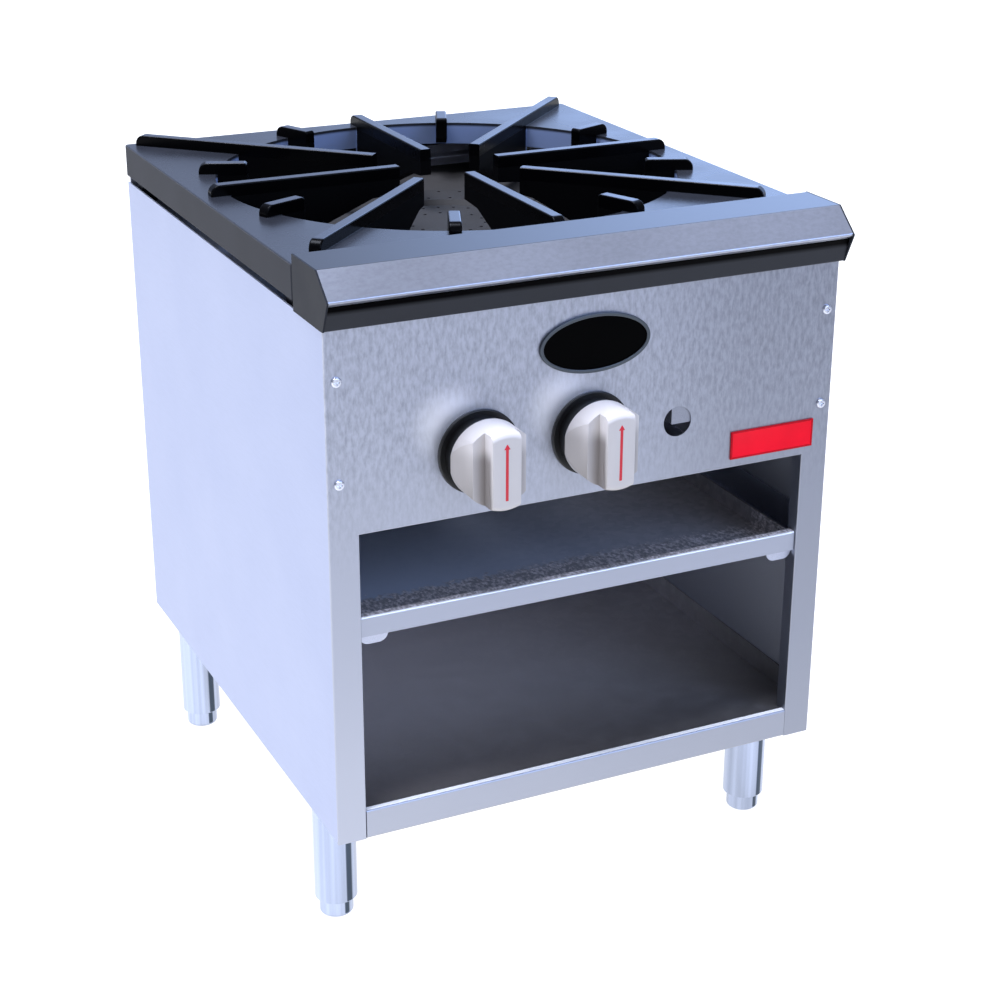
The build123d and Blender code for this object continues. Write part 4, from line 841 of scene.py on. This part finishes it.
class RANGE_OT_plates(bpy.types.Operator):
    """Model the blank oval plate with its rim, and the blank red plate with its border"""
    bl_idname = "range.plates"
    bl_label = "Plates"

    def execute(self, context):
        colours = context.scene.range_colours
        sizes = context.scene.range_sizes
        # matt black enamel hardly mirrors, and the blackened rim round it shows as a thin grey line
        self.shape_oval(enamelled_sheet("Enamel_black_matt", colours.plate, 0.5, sheen=0.02))
        self.shape_rim(sizes, plain_metal("Rim_blackened", colours.rim, 0.4))
        # satin red enamel, deeper along the border
        red = enamelled_sheet("Enamel_red", colours.badge, 0.4, sheen=0.1)
        dark_red = enamelled_sheet("Enamel_red_border", shade(colours.badge, 0.55), 0.4, sheen=0.1)
        self.shape_badge(sizes, red, dark_red)
        return {"FINISHED"}

    def add_oval(self, node):
        """Fill an oval to a node's outline, flat on its back, and draw it forward to the node's front."""
        low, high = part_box(node)
        middle = (low + high) / 2
        half_width, half_height = (high.x - low.x) / 2, (high.z - low.z) / 2
        start = (middle.x, high.y, middle.z)
        clear_selection()
        bpy.ops.mesh.primitive_circle_add(vertices=128, radius=half_width, fill_type="NGON", location=start,
                                          rotation=FACING_FRONT)
        bpy.ops.object.transform_apply()
        bpy.ops.object.mode_set(mode="EDIT")
        bpy.ops.mesh.select_all(action="SELECT")
        bpy.ops.transform.resize(value=(1, 1, half_height / half_width), center_override=start)
        draw_out(low.y - high.y)
        return bpy.context.object

    def shape_oval(self, black):
        """The plate itself, very slightly domed."""
        plate = self.add_oval("oval_plate")
        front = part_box("oval_plate")[0].y
        rise = 0.12 * MM
        for step in (2.0, 3.0, 4.0):
            select_faces(lambda spot: spot.y < front + ON_PLANE)
            bpy.ops.mesh.inset(thickness=step * MM)
            bpy.ops.transform.translate(value=(0, -rise, 0))
            front -= rise
        finish_piece(plate, "oval_plate_domed", [black], "cabinet", "plate_black", "oval_plate")

    def shape_rim(self, sizes, metal):
        """A flat ring with rounded edges round the plate."""
        rim = self.add_oval("oval_plate_rim")
        low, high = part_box("oval_plate_rim")
        select_faces(lambda spot: spot.y < low.y + ON_PLANE or spot.y > high.y - ON_PLANE)
        bpy.ops.mesh.inset(thickness=sizes.rim_width)
        bpy.ops.mesh.bridge_edge_loops()
        round_edges(rim, 0.5 * MM, segments=3, angle=40)
        finish_piece(rim, "oval_rim_rounded", [metal], "cabinet", "plate_rim", "oval_plate_rim")

    def shape_badge(self, sizes, red, dark_red):
        """A red plate with a raised border of a deeper red."""
        low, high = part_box("badge_plate")
        badge = place_block((low + high) / 2, high - low)
        bpy.ops.object.transform_apply()
        badge.data.materials.append(dark_red)
        badge.data.materials.append(red)
        select_faces(lambda spot: spot.y < low.y + ON_PLANE)
        bpy.ops.mesh.inset(thickness=sizes.badge_border)
        draw_out(0.4 * MM)
        badge.active_material_index = 1
        bpy.ops.object.material_slot_assign()
        round_edges(badge, 0.25 * MM, segments=2, angle=40)
        finish_piece(badge, "badge_bordered", [dark_red, red], "cabinet", "badge_red", "badge_plate")


class RANGE_OT_legs(bpy.types.Operator):
    """Finish the legs and their feet"""
    bl_idname = "range.legs"
    bl_label = "Legs and Feet"

    def execute(self, context):
        colours = context.scene.range_colours
        legs = [f"{piece}_{end}_{side}" for piece in ("leg", "foot") for end in ("front", "rear")
                for side in (LEFT, RIGHT)]
        # polished steel tube: it mirrors the floor and the light, with one painted dark reflection down its
        # side
        dress(tube_with_painted_reflection("Steel_polished_tube", colours.chrome, linear("465160")), *legs)
        return {"FINISHED"}


def pale_floor(name, colour):
    """A pale floor that glows like a lit table, so that it stays white, and fades to the front right."""
    material, tree, shader, place = new_material(name)
    across = add_node(tree, "VectorMath", {0: place, 1: (0.5, -0.87, 0)}, operation="DOT_PRODUCT")
    reach = add_node(tree, "MapRange", {"Value": across, "From Max": 2.5})
    level = add_node(tree, "ValToRGB", {"Fac": reach})
    ramp = level.color_ramp
    ramp.elements[0].position, ramp.elements[0].color = 0.15, (1.0, 1.0, 1.0, 1)
    ramp.elements[1].position, ramp.elements[1].color = 0.85, (0.1, 0.1, 0.1, 1)
    for distance, strength in ((0.2, 0.8), (0.3, 0.6), (0.68, 0.42)):
        ramp.elements.new(distance).color = (strength, strength, strength, 1)
    fill(shader, {"Base Color": shade(colour, 0.2), "Roughness": 0.9, "Specular IOR Level": 0.0,
                  "Emission Color": colour, "Emission Strength": level})
    return material


class RANGE_OT_studio(bpy.types.Operator):
    """Lay the floor, light the studio and place the camera"""
    bl_idname = "range.studio"
    bl_label = "Studio"

    def execute(self, context):
        scene = context.scene
        bpy.ops.object.select_all(action="DESELECT")
        bpy.ops.mesh.primitive_circle_add(vertices=96, radius=14, fill_type="NGON", location=(0, 0, 0))
        floor = context.object
        floor.name = "floor"
        floor.data.materials.append(pale_floor("Floor_pale", scene.range_colours.floor))
        light_studio(scene, scene.range_colours)
        place_camera(scene)
        scene.view_settings.view_transform = "Standard"
        return {"FINISHED"}


def light_studio(scene, colours):
    """Six soft glows over a dim even light, all far away, while the camera sees a white ground."""
    world = bpy.data.worlds.new("Studio")
    scene.world = world
    world.use_nodes = True
    tree = world.node_tree
    tree.nodes.clear()
    direction = add_node(tree, "TexCoord").outputs["Generated"]
    # each glow's tint, its direction, the cosines where it starts and where it is full, and its strength
    glows = (
        (colours.light, (0.3, -0.05, 1), 0.6, 1.0, 0.3),               # overhead
        (colours.light, (-0.25, 0.08, 0.96), 0.93, 0.98, 30.0),        # key, high on the left
        (colours.light, (0.1, -0.97, 0.24), 0.8, 0.98, 1.3),           # front, low
        (colours.back_light, (0.42, -0.76, 0.48), 0.93, 0.98, 4.0),    # front right
        (colours.back_light, (0.15, 0.95, 0.2), 0.6, 0.95, 0.45),      # behind
        (colours.back_light, (0.75, 0.62, 0.22), 0.84, 0.99, 3.0),     # behind right
    )
    light = add_node(tree, "Background", {"Color": colours.light, "Strength": 0.3})
    for tint, towards, start, full, strength in glows:
        cosine = add_node(tree, "VectorMath", {0: direction, 1: tuple(Vector(towards).normalized())},
                          operation="DOT_PRODUCT")
        power = add_node(tree, "MapRange", {"Value": cosine, "From Min": start,
                         "From Max": full, "To Max": strength}, interpolation_type="SMOOTHSTEP")
        glow = add_node(tree, "Background", {"Color": tint, "Strength": power})
        light = add_node(tree, "AddShader", {0: light, 1: glow})
    ground = add_node(tree, "Background", {"Color": (1, 1, 1, 1), "Strength": 1.0})
    seen = add_node(tree, "LightPath").outputs["Is Camera Ray"]
    mixed = add_node(tree, "MixShader", {0: seen, 1: light, 2: ground})
    add_node(tree, "OutputWorld", {"Surface": mixed})


def place_camera(scene):
    """Stand the camera where the photograph was taken from."""
    data = bpy.data.cameras.new("Camera")
    data.lens = 73.03
    data.sensor_width = 36.0
    camera = bpy.data.objects.new("Camera", data)
    scene.collection.objects.link(camera)
    turn = Euler((math.radians(90 - 22.492), 0, math.radians(-25.699))).to_matrix()
    roll = Matrix.Rotation(math.radians(0.211), 3, "Z")
    camera.matrix_world = Matrix.Translation((-0.7301, -1.5953, 1.0078)) @ (turn @ roll).to_4x4()
    scene.camera = camera


class RANGE_PT_pieces(bpy.types.Panel):
    """Lists the range's pieces in the sidebar"""
    bl_label = "Stock Pot Range"
    bl_idname = "RANGE_PT_pieces"
    bl_space_type = "VIEW_3D"
    bl_region_type = "UI"
    bl_category = "Range"

    def draw(self, context):
        layout = self.layout
        for group in (context.scene.range_colours, context.scene.range_sizes):
            column = layout.column(align=True)
            for key in group.__annotations__:
                column.prop(group, key)
        for piece in PIECES:
            layout.operator(piece.bl_idname)


PIECES = (RANGE_OT_cabinet, RANGE_OT_bay, RANGE_OT_grate, RANGE_OT_burners, RANGE_OT_gas_train,
          RANGE_OT_knobs, RANGE_OT_screws, RANGE_OT_plates, RANGE_OT_legs, RANGE_OT_studio)
CLASSES = (RangeColours, RangeSizes) + PIECES + (RANGE_PT_pieces,)


def register():
    for each in CLASSES:
        bpy.utils.register_class(each)
    bpy.types.Scene.range_colours = PointerProperty(type=RangeColours)
    bpy.types.Scene.range_sizes = PointerProperty(type=RangeSizes)


def unregister():
    del bpy.types.Scene.range_sizes
    del bpy.types.Scene.range_colours
    for each in reversed(CLASSES):
        bpy.utils.unregister_class(each)


def main():
    register()
    for piece in PIECES:
        group, name = piece.bl_idname.split(".")
        getattr(getattr(bpy.ops, group), name)()


if __name__ == "__main__":
    main()
